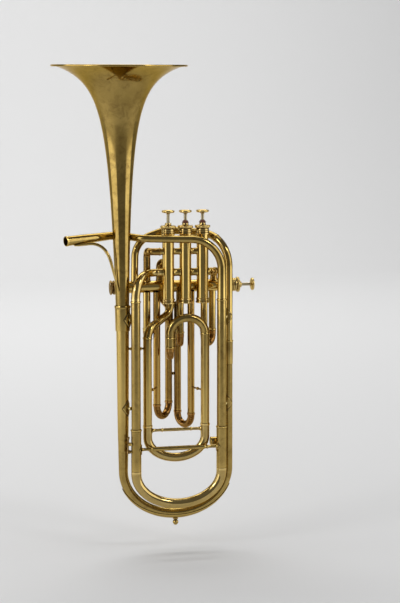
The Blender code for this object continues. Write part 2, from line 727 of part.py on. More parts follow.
def build_upright_casings():
    """Casings 1 to 3, each with the knuckles to its right soldered on."""
    low = CASING_BOTTOM + PORT_LOW
    high = CASING_BOTTOM + PORT_HIGH
    inner = CASING_R - CASING_WALL
    for number in (1, 2, 3):
        x = valve_x(number)
        top = CASING_BOTTOM + CASING_LENGTH
        casing = add_piece(f"valve_casing_{number}",
                           cylinder((x, VALVE_Y, CASING_BOTTOM), (x, VALVE_Y, top), CASING_R, CASING_SIDES),
                           brass())
        reach = valve_pitch() if number < 3 else CASING_R + 3.0
        knuckles = [cylinder((x, VALVE_Y, low), (x + reach, VALVE_Y, low), KNUCKLE_R)]
        if number < 3:
            knuckles.append(cylinder((x, VALVE_Y, high), (x + reach, VALVE_Y, high), KNUCKLE_HIGH_R))
        if number == 1:
            back = CASING_R + 2.6
            knuckles.append(cylinder((x - back, VALVE_Y, low), (x, VALVE_Y, low), KNUCKLE_R))
            knuckles.append(cylinder((x - back, VALVE_Y, high), (x, VALVE_Y, high), KNUCKLE_HIGH_R))
        knuckles.append(cylinder((x, VALVE_Y, REAR_Z), (x, VALVE_Y + CASING_R + 3, REAR_Z),
                                 KNUCKLE_HIGH_R, THIN_SIDES, (0, 0, 1)))
        combine(casing, 'UNION', knuckles)
        bores = [cylinder((x - 14, VALVE_Y, low), (x + valve_pitch(), VALVE_Y, low),
                          KNUCKLE_R - PORT_WALL),
                 cylinder((x - 14, VALVE_Y, high), (x + (valve_pitch() if number < 3 else 0), VALVE_Y, high),
                          KNUCKLE_HIGH_R - PORT_WALL),
                 cylinder((x, VALVE_Y, REAR_Z), (x, VALVE_Y + 20, REAR_Z), KNUCKLE_HIGH_R - PORT_WALL,
                          THIN_SIDES, (0, 0, 1)),
                 cylinder((x, VALVE_Y, CASING_BOTTOM - 5), (x, VALVE_Y, top + 5), inner, CASING_SIDES),
                 rear_clearance()]
        if number < 3:
            bores.append(upright_clearance(number + 1))
        if number == 1:
            way = link_way()
            start = Vector((x, VALVE_Y, REAR_Z + LINK_RISE))
            bores.append(cylinder(start, start + way * 14, VALVE_TUBE_R - VALVE_TUBE_WALL,
                                  THIN_SIDES, (0, 0, 1)))
        combine(casing, 'DIFFERENCE', bores)


def link_way():
    """Direction from the first valve's axis to its rear link tube."""
    return Vector((LINK_X - VALVE_X, REAR_Y - VALVE_Y, 0)).normalized()


def short_leg_lines():
    """Centre lines of the fixed legs that the fourth casing carries."""
    lines = []
    for _, front, back, joint, _ in short_slides():
        plain, turning = leg_facets(front, back)
        lines.append(bent_line([(front[0], front[1], REAR_Z), (front[0], front[1], joint + GAP)],
                               [], plain))
        lines.append(bent_line([(back[0], REAR_Y + 2, REAR_Z), (back[0], back[1], REAR_Z),
                                (back[0], back[1], joint + GAP)], [6.2], turning))
    return lines


def short_slides():
    """Name, front leg, back leg, joint height and straight part of each short slide."""
    third = (valve_x(3) + THIRD_SHORT_AWAY, right_link_x() + THIRD_SHORT_BESIDE)
    rows = (("first", FIRST_SHORT, 290.0, 3.0), ("second", SECOND_SHORT, 284.6, 9.0),
            ("third", third, 286.0, 7.5))
    return [(f"{name}_short_slide", (front, LONG_FRONT_Y), (back, SHORT_BACK), joint, straight)
            for name, (front, back), joint, straight in rows]


def build_rear_casing():
    """The long fourth casing, with the outer legs of its three short slides."""
    left = (REAR_LEFT, REAR_Y, REAR_Z)
    right = (REAR_RIGHT, REAR_Y, REAR_Z)
    casing = add_piece("valve_casing_4", cylinder(left, right, CASING_R, CASING_SIDES), brass())
    legs = []
    bores = []
    for line in short_leg_lines():
        end = length_of(line)
        legs.append(pipe_mesh(line, [(0, VALVE_TUBE_R), (end, VALVE_TUBE_R)], None, THIN_SIDES))
        longer = line[:-1] + [(end + 2, line[-1][1] + line[-1][2] * 2, *line[-1][2:])]
        inner = VALVE_TUBE_R - VALVE_TUBE_WALL
        bores.append(pipe_mesh(longer, [(0, inner), (end + 2, inner)], None, THIN_SIDES))
    combine(casing, 'UNION', legs)
    port = VALVE_TUBE_R - VALVE_TUBE_WALL
    for start, end in (((-54.1, REAR_Y, REAR_Z), (-54.4, REAR_Y, REAR_Z + 14)),
                       ((UPPER_LINK_X, REAR_Y, REAR_Z), (UPPER_LINK_X, REAR_Y, REAR_Z + 14)),
                       ((LINK_X, REAR_Y, REAR_Z), (LINK_X, REAR_Y, REAR_Z + 14)),
                       ((right_link_x(), REAR_Y, REAR_Z), (right_link_x(), REAR_Y, REAR_Z + 14)),
                       ((S_BEND[0], S_BEND[1], REAR_Z), (S_BEND[0], S_BEND[1], REAR_Z - 14)),
                       ((FIRST_LONG[0], LONG_FRONT_Y, REAR_Z), (FIRST_LONG[0], LONG_FRONT_Y, REAR_Z - 14)),
                       ((THIRD_LONG[0], LONG_FRONT_Y, REAR_Z), (THIRD_LONG[0], LONG_FRONT_Y, REAR_Z - 14))):
        bores.append(cylinder(start, end, port))
    for x in (FIRST_LONG[1], THIRD_PORT_X, RETURN_PORT_X):
        bores.append(cylinder((x, REAR_Y, REAR_Z), (x, REAR_Y + 14, REAR_Z), port, THIN_SIDES, (0, 0, 1)))
    bores.append(cylinder((REAR_LEFT - 5, REAR_Y, REAR_Z), (REAR_RIGHT + 5, REAR_Y, REAR_Z),
                          CASING_R - CASING_WALL, CASING_SIDES))
    combine(casing, 'DIFFERENCE', bores)


def piston_outline(length, recess):
    """Half section of a piston with its stem; the foot is hollow for the spring."""
    piston_r = CASING_R - CASING_WALL - GAP
    stem = PISTON_TOP_PLAY + 6.0 + STEM_SHOWN
    return [(0, recess), (5.4, recess), (5.4, 0), (piston_r, 0), (piston_r, length - 1), (6.9, length),
            (STEM_R + 1.2, length), (STEM_R, length + 1.2), (STEM_R, length + stem), (0, length + stem)]


def build_pistons():
    """Pistons with straight windways and, a stroke above them, the bent ones."""
    for number, (base, axis, length) in valve_frames().items():
        barrel = length - PISTON_FOOT - PISTON_TOP_PLAY - CAP_SEAT
        start = base + axis * PISTON_FOOT
        across = Vector((1, 0, 0)) if number < 4 else Vector((0, 0, 1))
        piston = add_piece(f"piston_{number}", turned_mesh(piston_outline(barrel, SPRING_HOLE), CASING_SIDES,
                                                            start, axis), steel_brass(), start)
        low = Vector(across)
        back = axis.cross(across)
        cuts = []
        rows = [(PORT_LOW, KNUCKLE_R - PORT_WALL), (PORT_HIGH, KNUCKLE_HIGH_R - PORT_WALL)]
        if number == 4:
            rows = [(height, 4.4) for height in REAR_PORTS]
        for height, radius in rows:
            centre = base + axis * height
            cuts.append(cylinder(centre - low * 12, centre + low * 12, radius, 6, axis))
            turn = base + axis * (height + STROKE)
            cuts.append(cylinder(turn - low * 12, turn, radius - 0.6, 6, axis))
            cuts.append(cylinder(turn, turn + back * 12, radius - 0.6, 6, axis))
        combine(piston, 'DIFFERENCE', cuts)
        top = start + axis * (barrel + PISTON_TOP_PLAY + 6.0 + STEM_SHOWN)
        outline = [(0, GAP), (3.2, GAP), (4.6, 1.0), (BUTTON_R - 1.0, 2.3), (BUTTON_R, 3.0),
                   (BUTTON_R, 4.3), (BUTTON_R - 0.7, 4.9), (BUTTON_R - 2.4, 4.3), (0, 4.1)]
        button = add_piece(f"finger_button_{number}", turned_mesh(outline, CAP_SIDES, top, axis),
                           bright_brass(), top)
        carry(button, piston)
        if number < 4:
            build_spring(number, base + axis * 0.1, start + axis * (SPRING_HOLE - GAP))


def steel_brass():
    return finish("nickel_silver", (0.42, 0.39, 0.33), 0.3)


def build_spring(number, start, end):
    """A wound spring between the bottom cap and the piston's hollow foot."""
    axis = (end - start).normalized()
    across = Vector((0, 1, 0))
    beside = axis.cross(across)
    height = (end - start).length - SPRING_WIRE
    curve = bpy.data.curves.new(f"valve_spring_{number}", 'CURVE')
    curve.dimensions = '3D'
    curve.bevel_depth = SPRING_WIRE / 2 * MM
    curve.bevel_resolution = 0
    curve.use_fill_caps = True
    spline = curve.splines.new('POLY')
    per_turn = 6
    total = SPRING_TURNS * per_turn + 1
    spline.points.add(total - 1)
    for index in range(total):
        turn = 2 * math.pi * index / per_turn
        along = SPRING_WIRE / 2 + height * index / (total - 1)
        point = axis * along + (across * math.cos(turn) + beside * math.sin(turn)) * SPRING_R
        spline.points[index].co = (*(point * MM), 1.0)
    curve.materials.append(steel())
    obj = bpy.data.objects.new(curve.name, curve)
    obj.location = start * MM
    bpy.context.scene.collection.objects.link(obj)


def build_caps():
    """Screw caps: a ribbed top cap with its flange and neck, and a bottom cap."""
    seat = CASING_R + GAP
    for number, (base, axis, length) in valve_frames().items():
        top = base + axis * (length - CAP_SKIRT)
        outer = seat + CAP_WALL
        flange = outer + CAP_FLANGE
        roof = CAP_SKIRT + GAP
        outline = [(seat, 0), (outer + 0.5, 0), (outer + 0.5, 2.4), (outer - 0.1, 3.4),
                   (outer + 0.3, 6.0), (outer - 0.2, 9.4), (flange, 10.4), (flange, 13.2),
                   (DOME_R, 15.0), (DOME_R - 0.4, 17.2), (STEM_R + GAP, 17.2),
                   (STEM_R + GAP, roof), (seat, roof)]
        add_piece(f"valve_top_cap_{number}", turned_mesh(outline, CAP_SIDES, top, axis),
                  bright_brass(), top)
        bottom = base - axis * 2.6
        knurl = outer + (REAR_CAP_RIM if number == 4 else 0.0)
        outline = [(1.6, 0), (knurl - 1.0, 0), (knurl, 1.0), (knurl, 6.8), (knurl - 0.4, 7.6),
                   (seat, 7.6), (seat, 2.6 - GAP), (1.6, 2.6 - GAP)]
        add_piece(f"valve_bottom_cap_{number}", turned_mesh(outline, CAP_SIDES, bottom, axis),
                  bright_brass(), bottom)


def elbow_clearance(x):
    """Room round a tube that leaves the fourth valve's casing to the back."""
    return cylinder((x, REAR_Y, REAR_Z), (x, SHORT_BACK, REAR_Z), VALVE_TUBE_R + 3 * GAP,
                    THIN_SIDES, (0, 0, 1))


def build_links():
    """Tubes between the upright valves and the fourth."""
    low = CASING_BOTTOM + PORT_LOW
    high = CASING_BOTTOM + PORT_HIGH
    inner = VALVE_TUBE_R - VALVE_TUBE_WALL
    x3 = valve_x(3) + CASING_R + 3.0 + GAP
    right_x = right_link_x()
    lines = {
        "link_tube_right": [(x3, VALVE_Y, low), (right_x, VALVE_Y, low), (right_x, REAR_Y, low),
                            (right_x, REAR_Y, REAR_Z)],
        "link_tube_upper": [(VALVE_X - CASING_R - 2.6 - GAP, VALVE_Y, high), (UPPER_LINK_X, VALVE_Y, high),
                            (UPPER_LINK_X, REAR_Y, high), (UPPER_LINK_X, REAR_Y, REAR_Z)]}
    for name, corners in lines.items():
        line = bent_line(corners, [9, 9], (0, 0, 1))
        end = length_of(line)
        ring = VALVE_TUBE_R + 0.6
        outline = [(0, ring), (2, ring), (2, VALVE_TUBE_R), (end, VALVE_TUBE_R)]
        tube = add_piece(name, pipe_mesh(line, outline, [(0, inner), (end, inner)]), red_brass())
        combine(tube, 'DIFFERENCE', [rear_clearance()])
        if name == "link_tube_right":
            combine(tube, 'DIFFERENCE', [elbow_clearance(right_link_x() + THIRD_SHORT_BESIDE)])
    rise = REAR_Z + LINK_RISE
    line = bent_line([(LINK_X, REAR_Y, REAR_Z), (LINK_X, REAR_Y, rise), (VALVE_X, VALVE_Y, rise)], [8.5])
    end = length_of(line)
    tube = add_piece("link_tube_lower",
                     pipe_mesh(line, [(0, VALVE_TUBE_R), (end, VALVE_TUBE_R)], [(0, inner), (end, inner)]),
                     red_brass())
    combine(tube, 'DIFFERENCE', [rear_clearance(), upright_clearance(1)])


# Wide slide of the fourth valve

def build_wide_legs():
    """Left leg with its S bend to the fourth valve, right leg with the arch."""
    s_x, s_y = S_BEND
    ferrule = WIDE_FERRULE + GAP
    left = bent_line([(s_x, s_y, REAR_Z), (s_x, s_y, 317), (WIDE_LEFT_X, WIDE_Y, 296),
                      (WIDE_LEFT_X, WIDE_Y, ferrule)], [18, 22], (0, 1, 0))
    end = length_of(left)
    ring_at = end - (WIDE_LEFT_TOP - ferrule)
    outline = [(0, 5.7), (30, 5.7), (ring_at - 8, WIDE_R), *bead(ring_at, WIDE_R, 1.1, 0.6, end),
               (end, WIDE_R)]
    bore = [(0, 5.1), (30, 5.1), (ring_at - 8, WIDE_R - TUBE_WALL), (end, WIDE_R - TUBE_WALL)]
    leg = add_piece("fourth_leg_left", pipe_mesh(left, outline, bore, THIN_SIDES), brass())
    combine(leg, 'DIFFERENCE', [rear_clearance()])
    right = arch_line()
    end = length_of(right)
    ring_at = end - (WIDE_RIGHT_TOP - ferrule) + 4
    outline = [(0, 6.6), (3, 6.6), (3, 6.0), (13.5, 6.0), (14.5, 6.7), (15.5, 6.0),
               (40, 6.2), *bead(ring_at, WIDE_R, 1.1, 0.6, end), (end, WIDE_R)]
    bore = [(0, 5.4), (40, 5.4), (ring_at, WIDE_R - TUBE_WALL), (end, WIDE_R - TUBE_WALL)]
    add_piece("fourth_leg_right", pipe_mesh(right, outline, bore, THIN_SIDES), brass())


def arch_line():
    return bow_line((ARCH_LEFT_X, WIDE_Y, WIDE_RIGHT_TOP), (WIDE_RIGHT_X, WIDE_Y, WIDE_RIGHT_TOP),
                    ARCH_RISE, WIDE_RIGHT_TOP - ARCH_END, WIDE_RIGHT_TOP - WIDE_FERRULE - GAP,
                    up=True, steps=7)


def build_wide_slide():
    """The sliding bow with its ferrules and the rod across it."""
    bm = slide_mesh((WIDE_LEFT_X, WIDE_Y, WIDE_FERRULE), (WIDE_RIGHT_X, WIDE_Y, WIDE_FERRULE),
                    WIDE_STRAIGHT, WIDE_DROP, WIDE_INSIDE, WIDE_R + 0.2, WIDE_R - TUBE_WALL - GAP,
                    WIDE_FERRULE_R, 7, THIN_SIDES)
    slide = add_piece("fourth_slide", bm, bright_brass(), (0, WIDE_Y, WIDE_FERRULE))
    height = WIDE_FERRULE - 8.0
    wall = WIDE_R - 0.2
    line = bent_line([(WIDE_LEFT_X + wall, WIDE_Y, height), (WIDE_RIGHT_X - wall, WIDE_Y, height)], [],
                     (0, 0, 1))
    end = length_of(line)
    half = [(0, 2.6), (2.4, 2.0), (17, 2.0), (18, 2.7), (19.4, 2.0)]
    outline = half + [(end - d, r) for d, r in reversed(half)]
    combine(slide, 'UNION', [pipe_mesh(line, outline, None, ROD_SIDES)])


def build_arch_slide():
    """The short slide under the arch, seen edge on, and the tube that leads back."""
    inner = 5.4 - GAP - 0.1
    back_x = ARCH_LEFT_X + 5.0
    plain, _ = leg_facets((ARCH_LEFT_X, WIDE_Y), (back_x, SHORT_BACK_Y))
    front = (ARCH_LEFT_X, WIDE_Y, ARCH_END - GAP)
    back = (back_x, SHORT_BACK_Y, ARCH_END - GAP)
    bm = slide_mesh(front, back, 3.0, 9.5, 16.0, 5.9, inner, None, 5, THIN_SIDES)
    add_piece("arch_slide", bm, bright_brass(), front)
    line = bent_line([(back_x, SHORT_BACK_Y, ARCH_END), (back_x, SHORT_BACK_Y, ARCH_END + 22),
                      (RETURN_X, RETURN_Y, ARCH_END + 30), (RETURN_X, RETURN_Y, ARCH_END + 54),
                      (RETURN_PORT_X, RETURN_Y, ARCH_END + 68), (RETURN_PORT_X, RETURN_Y, REAR_Z),
                      (RETURN_PORT_X, REAR_Y + 2, REAR_Z)], [8, 9, 8, 8, VALVE_TUBE_R + RETURN_BEND], plain)
    end = length_of(line)
    ring = 5.9 + 0.4
    outline = [(0, ring), (2, ring), (2, 5.9), (20, 5.9), (26, VALVE_TUBE_R), (end, VALVE_TUBE_R)]
    bore = [(0, 5.4), (20, 5.4), (26, VALVE_TUBE_R - VALVE_TUBE_WALL), (end, VALVE_TUBE_R - VALVE_TUBE_WALL)]
    tube = add_piece("arch_return_tube", pipe_mesh(line, outline, bore), red_brass())
    combine(tube, 'DIFFERENCE', [rear_clearance()])


def build_long_slides():
    """The two long narrow slides behind, each with two fixed legs."""
    inner = VALVE_TUBE_R - VALVE_TUBE_WALL
    for name, (front_x, back_x), port_x, joint, straight in (
            ("first", FIRST_LONG, FIRST_LONG[1], 178.5, 3.0),
            ("third", THIRD_LONG, THIRD_PORT_X, 163.5, 4.5)):
        plain, turning = leg_facets((front_x, LONG_FRONT_Y), (back_x, LONG_BACK_Y))
        front_line = bent_line([(front_x, LONG_FRONT_Y, REAR_Z), (front_x, LONG_FRONT_Y, joint + GAP)],
                               [], plain)
        corners = [(port_x, REAR_Y + 2, REAR_Z), (port_x, LONG_BACK_Y, REAR_Z)]
        bends = [9]
        if port_x != back_x:
            corners += [(port_x, LONG_BACK_Y, REAR_Z - 16), (back_x, LONG_BACK_Y, REAR_Z - 30)]
            bends += [8, 8]
        back_line = bent_line(corners + [(back_x, LONG_BACK_Y, joint + GAP)], bends, turning)
        for part, line in (("front", front_line), ("back", back_line)):
            end = length_of(line)
            outline = [(0, VALVE_TUBE_R), (end, VALVE_TUBE_R)]
            leg = add_piece(f"{name}_leg_{part}",
                            pipe_mesh(line, outline, [(0, inner), (end, inner)]), red_brass())
            combine(leg, 'DIFFERENCE', [rear_clearance()])
        spread = (Vector((back_x, LONG_BACK_Y)) - Vector((front_x, LONG_FRONT_Y))).length
        bm = slide_mesh((front_x, LONG_FRONT_Y, joint), (back_x, LONG_BACK_Y, joint), straight,
                        spread * 0.5, LONG_STEM, VALVE_TUBE_R, inner - GAP, VALVE_TUBE_R + 0.7, 5,
                        THIN_SIDES)
        add_piece(f"{name}_long_slide", bm, red_brass(), (front_x, LONG_FRONT_Y, joint))


def build_short_slides():
    """The short slides that hang under the fourth valve."""
    inner = VALVE_TUBE_R - VALVE_TUBE_WALL - GAP
    for name, front, back, joint, straight in short_slides():
        spread = (Vector(back) - Vector(front)).length
        bm = slide_mesh((*front, joint), (*back, joint), straight, spread * 0.5, SHORT_STEM,
                        VALVE_TUBE_R, inner, None, 5, THIN_SIDES)
        add_piece(name, bm, red_brass(), (*front, joint))


# Stays and small fittings

def stay_mesh_parts(start, start_r, end, end_r, height, rod_r=1.5, bead_r=2.4):
    """A rod from tube to tube with a bead at its middle; returns the rod's mesh."""
    a = Vector((*start, height))
    b = Vector((*end, height))
    way = (b - a).normalized()
    line = bent_line([a + way * (start_r + GAP), b - way * (end_r + GAP)], [], (0, 0, 1))
    end_at = length_of(line)
    middle = end_at / 2
    outline = [(0, bead_r), (1.2, rod_r), (middle - 1.2, rod_r), (middle, bead_r),
               (middle + 1.2, rod_r), (end_at - 1.2, rod_r), (end_at, bead_r)]
    return pipe_mesh(line, outline, None, ROD_SIDES), way


def link_stay(obj, start, start_r, end, end_r, height):
    """Solder a beaded stay on a tube; it stops just short of the tube at its far end."""
    a = Vector((*start, height))
    b = Vector((*end, height))
    way = (b - a).normalized()
    line = bent_line([a + way * (start_r - 0.35), b - way * (end_r + GAP)], [], (0, 0, 1))
    length = length_of(line)
    middle = length / 2
    outline = [(0, 1.4), (middle - 1.2, 1.2), (middle, 2.2), (middle + 1.2, 1.2), (length, 1.4)]
    combine(obj, 'UNION', [pipe_mesh(line, outline, None, ROD_SIDES)])


def flange_mesh(centre, way, tube_r, height):
    """A diamond plate bent round a tube, its middle facing along way."""
    line = []
    radius = tube_r + 2.3 * GAP
    wrap = math.degrees(FLANGE_WIDE / radius)
    for part in (-1.0, -0.5, 0.0, 0.5, 1.0):
        point = Vector((*centre, height + part * FLANGE_TALL))
        line.append((0.0, point, Vector((0, 0, 1)), way))
    return strap_mesh(line, [radius] * 5, FLANGE_THICK, [3.0, wrap * 0.5, wrap, wrap * 0.5, 3.0], 4)


def leg_radius_at(height):
    """Radius of the bell leg at a height."""
    marks = sorted(bell_leg_radius())
    return radius_on(marks, height)


def build_stays():
    """Stays between the outer tubes and the tuning slide's legs, with diamond flanges."""
    left = (LEFT_X, 0)
    right = (RIGHT_X, 0)
    slide_left = (TUNING_LEFT_X, TUNING_Y)
    slide_right = (TUNING_RIGHT_X, TUNING_Y)
    ferrule_r = BELL_LEG_TOP_R + 2.0
    jobs = (("bell_stay_upper", left, ferrule_r, slide_left, 313.0),
            ("bell_stay_lower", left, leg_radius_at(181.0), slide_left, 181.0),
            ("branch_stay_upper", right, BRANCH_R, slide_right, 313.0),
            ("branch_stay_lower", right, BRANCH_R, slide_right, 183.0))
    for name, outer, outer_r, inner, height in jobs:
        way = Vector((inner[0] - outer[0], inner[1] - outer[1], 0)).normalized()
        rod, way = stay_mesh_parts(outer, outer_r + FLANGE_THICK, inner, TUNING_R, height)
        stay = add_piece(name, rod, brass())
        combine(stay, 'UNION', [flange_mesh(outer, way, outer_r, height)])


def build_inner_stays():
    """Small beaded stays between the slides, each part of one of the tubes it joins."""
    pieces = bpy.data.objects
    thin = VALVE_TUBE_R
    link_stay(pieces["first_leg_front"], (FIRST_LONG[0], LONG_FRONT_Y), thin,
              (WIDE_LEFT_X, WIDE_Y), WIDE_R, 204.0)
    link_stay(pieces["third_leg_front"], (THIRD_LONG[0], LONG_FRONT_Y), thin,
              (WIDE_RIGHT_X, WIDE_Y), WIDE_R, 203.0)
    link_stay(pieces["first_leg_back"], (FIRST_LONG[1], LONG_BACK_Y), thin,
              (THIRD_LONG[1], LONG_BACK_Y), thin, 220.0)
    link_stay(pieces["fourth_leg_left"], (WIDE_LEFT_X, WIDE_Y), WIDE_R,
              (LEFT_X, 0), leg_radius_at(269.0), 269.0)


def build_cross_stub():
    """The short cross tube between the wide slide and the right sleeve."""
    inside = TUNING_RIGHT_X - 3.0
    left = (WIDE_RIGHT_X + WIDE_FERRULE_R + STUB_GAP, STUB_Y, STUB_Z)
    line = bent_line([left, (inside, STUB_Y, STUB_Z)], [], (0, 0, 1))
    end = length_of(line)
    stub = add_piece("cross_stub", pipe_mesh(line, [(0, STUB_R - 1), (1, STUB_R), (end, STUB_R)], None,
                                             THIN_SIDES), brass())
    combine(stub, 'DIFFERENCE', [cylinder((TUNING_RIGHT_X, TUNING_Y, STUB_Z - 15),
                                          (TUNING_RIGHT_X, TUNING_Y, STUB_Z + 15),
                                          SLEEVE_R + GAP, THIN_SIDES)])


def build_water_key():
    """Lever, cork and pin hub on the left sleeve; it rocks on its pin."""
    hinge = water_key_hinge()
    half = KEY_HUB / 2
    bm = cylinder(hinge - Vector((0, half, 0)), hinge + Vector((0, half, 0)), KEY_HUB_R, THIN_SIDES,
                  (0, 0, 1))
    key = add_piece("water_key", bm, bright_brass(), hinge)
    arm = bent_line([hinge + Vector((-3.4, 0, 12)), hinge + Vector((-0.6, 0, 0)),
                     hinge + Vector((-0.8, 0, -14))], [9], (0, 1, 0))
    end = length_of(arm)
    lever = pipe_mesh(arm, [(0, 2.6), (5, 1.4), (end * 0.6, 1.3), (end, 2.4)], None, ROD_SIDES)
    wall = TUNING_LEFT_X - SLEEVE_R - NIPPLE - GAP
    cork = cylinder((wall, TUNING_Y, KEY_Z - 11.5), (wall - 2.6, TUNING_Y, KEY_Z - 11.5), 2.8, THIN_SIDES,
                    (0, 0, 1))
    combine(key, 'UNION', [lever, cork])
    combine(key, 'DIFFERENCE', [cylinder(hinge - Vector((0, 9, 0)), hinge + Vector((0, 9, 0)),
                                         KEY_PIN_R + GAP, ROD_SIDES, (0, 0, 1))])
    sleeve = bpy.data.objects["tuning_leg_left"]
    back = TUNING_LEFT_X - SLEEVE_R + 0.45
    edge = half + GAP + 1.6
    solid = [box((back - 1.8, TUNING_Y - edge, KEY_Z - 1.8), (back, TUNING_Y + edge, KEY_Z + 1.8))]
    for side in (-1, 1):
        inner, outer = sorted((TUNING_Y + side * (half + GAP), TUNING_Y + side * edge))
        solid.append(box((hinge.x - 1.6, inner, KEY_Z - 1.7), (back - 0.9, outer, KEY_Z + 1.7)))
    solid.append(cylinder(hinge - Vector((0, half + 1.6, 0)), hinge + Vector((0, half + 1.6, 0)),
                          KEY_PIN_R, ROD_SIDES, (0, 0, 1)))
    solid.append(cylinder((back, TUNING_Y, KEY_Z - 11.5),
                          (TUNING_LEFT_X - SLEEVE_R - NIPPLE, TUNING_Y, KEY_Z - 11.5), 2.2, ROD_SIDES,
                          (0, 0, 1)))
    combine(sleeve, 'UNION', solid)


def water_key_hinge():
    return Vector((TUNING_LEFT_X - SLEEVE_R - KEY_STAND, TUNING_Y, KEY_Z))


def build():
    clean_scene()
    build_bell()
    build_bell_ferrule()
    line, outline = build_bell_bow()
    build_bow_guard(line, outline)
    build_foot_knob()
    build_branch()
    build_mouthpipe()
    build_mouthpipe_brace()
    build_tuning_legs()
    build_tuning_slide()
    build_tuning_brace()
    build_entry_bow()
    build_upright_casings()
    build_rear_casing()
    build_pistons()
    build_caps()
    build_links()
    build_wide_legs()
    build_wide_slide()
    build_arch_slide()
    build_long_slides()
    build_short_slides()
    build_stays()
    build_inner_stays()
    build_cross_stub()
    build_water_key()


build()
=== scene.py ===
"""Looks of the valve trombone: finer pieces, aged brass, camera and light.

Sizes are in millimetres, as in the part's source. Most pieces stand for the CAD
node of their name, lie where that node lies and ride on the same body.
"""
import json
from math import cos, degrees, pi, radians, sin, tan

import bmesh
import bpy
from mathutils import Matrix, Vector


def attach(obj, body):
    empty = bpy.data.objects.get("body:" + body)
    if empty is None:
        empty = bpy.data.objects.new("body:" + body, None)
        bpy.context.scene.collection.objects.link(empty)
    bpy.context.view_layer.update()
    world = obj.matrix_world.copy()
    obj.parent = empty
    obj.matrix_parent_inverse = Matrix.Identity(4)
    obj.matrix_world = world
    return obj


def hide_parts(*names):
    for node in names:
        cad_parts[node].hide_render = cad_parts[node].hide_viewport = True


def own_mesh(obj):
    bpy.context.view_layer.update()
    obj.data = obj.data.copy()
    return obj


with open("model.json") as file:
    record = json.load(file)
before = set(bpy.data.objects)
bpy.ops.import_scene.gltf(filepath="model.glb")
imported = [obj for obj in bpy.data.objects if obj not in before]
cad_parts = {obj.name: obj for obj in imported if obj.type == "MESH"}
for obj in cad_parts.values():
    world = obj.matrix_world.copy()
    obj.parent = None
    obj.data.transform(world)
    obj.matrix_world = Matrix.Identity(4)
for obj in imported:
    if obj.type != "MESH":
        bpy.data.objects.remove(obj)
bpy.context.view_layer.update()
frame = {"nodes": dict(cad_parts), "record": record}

MM = 0.001
GAP = 0.3
SLIDE_FIT = 0.15
SIDES = 40
STEP = radians(6.0)
FINE_STEP = radians(4.0)

# Bell, bow, branch and mouthpipe, with the part's dimensions
RIM_HEIGHT = 683.5
RIM_RADIUS = 98.0
RIM_WIRE_R = 1.5
RIM_TILT = radians(0.7)
RIM_TILT_FROM = 560.0
FLARE_START = 24.0
FLARE_POWER = 0.833
BELL_WALL = 0.8
BELL_LEAN = radians(0.5)
BELL_JOINT = 333.4
BELL_END = BELL_JOINT - 14.0
FERRULE_LAP = 6.0
FERRULE_WALL = 0.7
LEG_TOP = BELL_JOINT - 37.4 + FERRULE_LAP
LEFT_X = -79.0
RIGHT_X = 81.3
BRANCH_JOINT = 277.0
BRANCH_SLEEVE = 36.0
BRANCH_LAP = 7.5
BRANCH_TOP = 429.0
BOW_BOTTOM = 18.4
BOW_DROP = 66.6
BOW_TOP = BOW_BOTTOM + BOW_DROP
BOW_R = 6.6
BRANCH_R = 6.0
BRANCH_END_R = 5.3
TUBE_WALL = 0.6
BELL_LEG_TOP_R = 9.5
# (height, radius) of the bell's leg, from the bow up
BELL_LEG = [(BOW_TOP, BOW_R + 0.2), (150.0, 8.2), (LEG_TOP, BELL_LEG_TOP_R)]
GUARD_TOP = BOW_TOP - 22.7
GUARD_THICK = 1.0
GUARD_SIDES = 24
GUARD_WRAP = 74.0
GUARD_TIP_WRAP = 4.0
BRANCH_ROUTE = [(RIGHT_X, 0, BRANCH_JOINT - BRANCH_LAP), (RIGHT_X, 0, BRANCH_TOP), (46.3, 45, 435),
                (-5, 41, 440), (-52.5, 38, 424), (-54.4, 34, 364.2)]
MOUTHPIPE_ROUTE = [(-162.5, 0, 429.6), (-83, 27.0, 434.8), (-45, -2, 431)]
BRACE_ROUTE = [(-150, 0.4, 423.0), (-111, 3.4, 426.6), (-99, -6, 406.5), (-86.6, -9.4, 356)]
FOOT_BALL_R = 4.3
FOOT_FLAT_R = 1.9
FOOT_NECK_R = 2.2

# Tuning slide, water key and cross stub
TUNING_LEFT = (-62.5, -16.0)
TUNING_RIGHT = (66.8, -16.0)
TUNING_TOP = 341.2
TUNING_FERRULE = 150.0
TUNING_JOINT = 87.5
TUNING_R = 6.9
SLEEVE_R = 7.5
SLEEVE_WALL = 0.6
TUNING_DROP = 47.0
TUNING_STRAIGHT = 4.5
TUNING_INSIDE = 58.0
BRACE_Z = 120.6
BRACE_Y = -18.5
BRACE_INSET = 7.3
STUB_R = 6.3
STUB_Y = -4.0
STUB_Z = 126.0
KEY_HINGE = Vector((TUNING_LEFT[0] - SLEEVE_R - 3.8, TUNING_LEFT[1], 129.0))
KEY_HUB = 7.0
KEY_HUB_R = 2.1
KEY_PIN_R = 0.8
KEY_PAD_Z = KEY_HINGE.z - 11.5
NIPPLE_X = TUNING_LEFT[0] - SLEEVE_R - 0.8

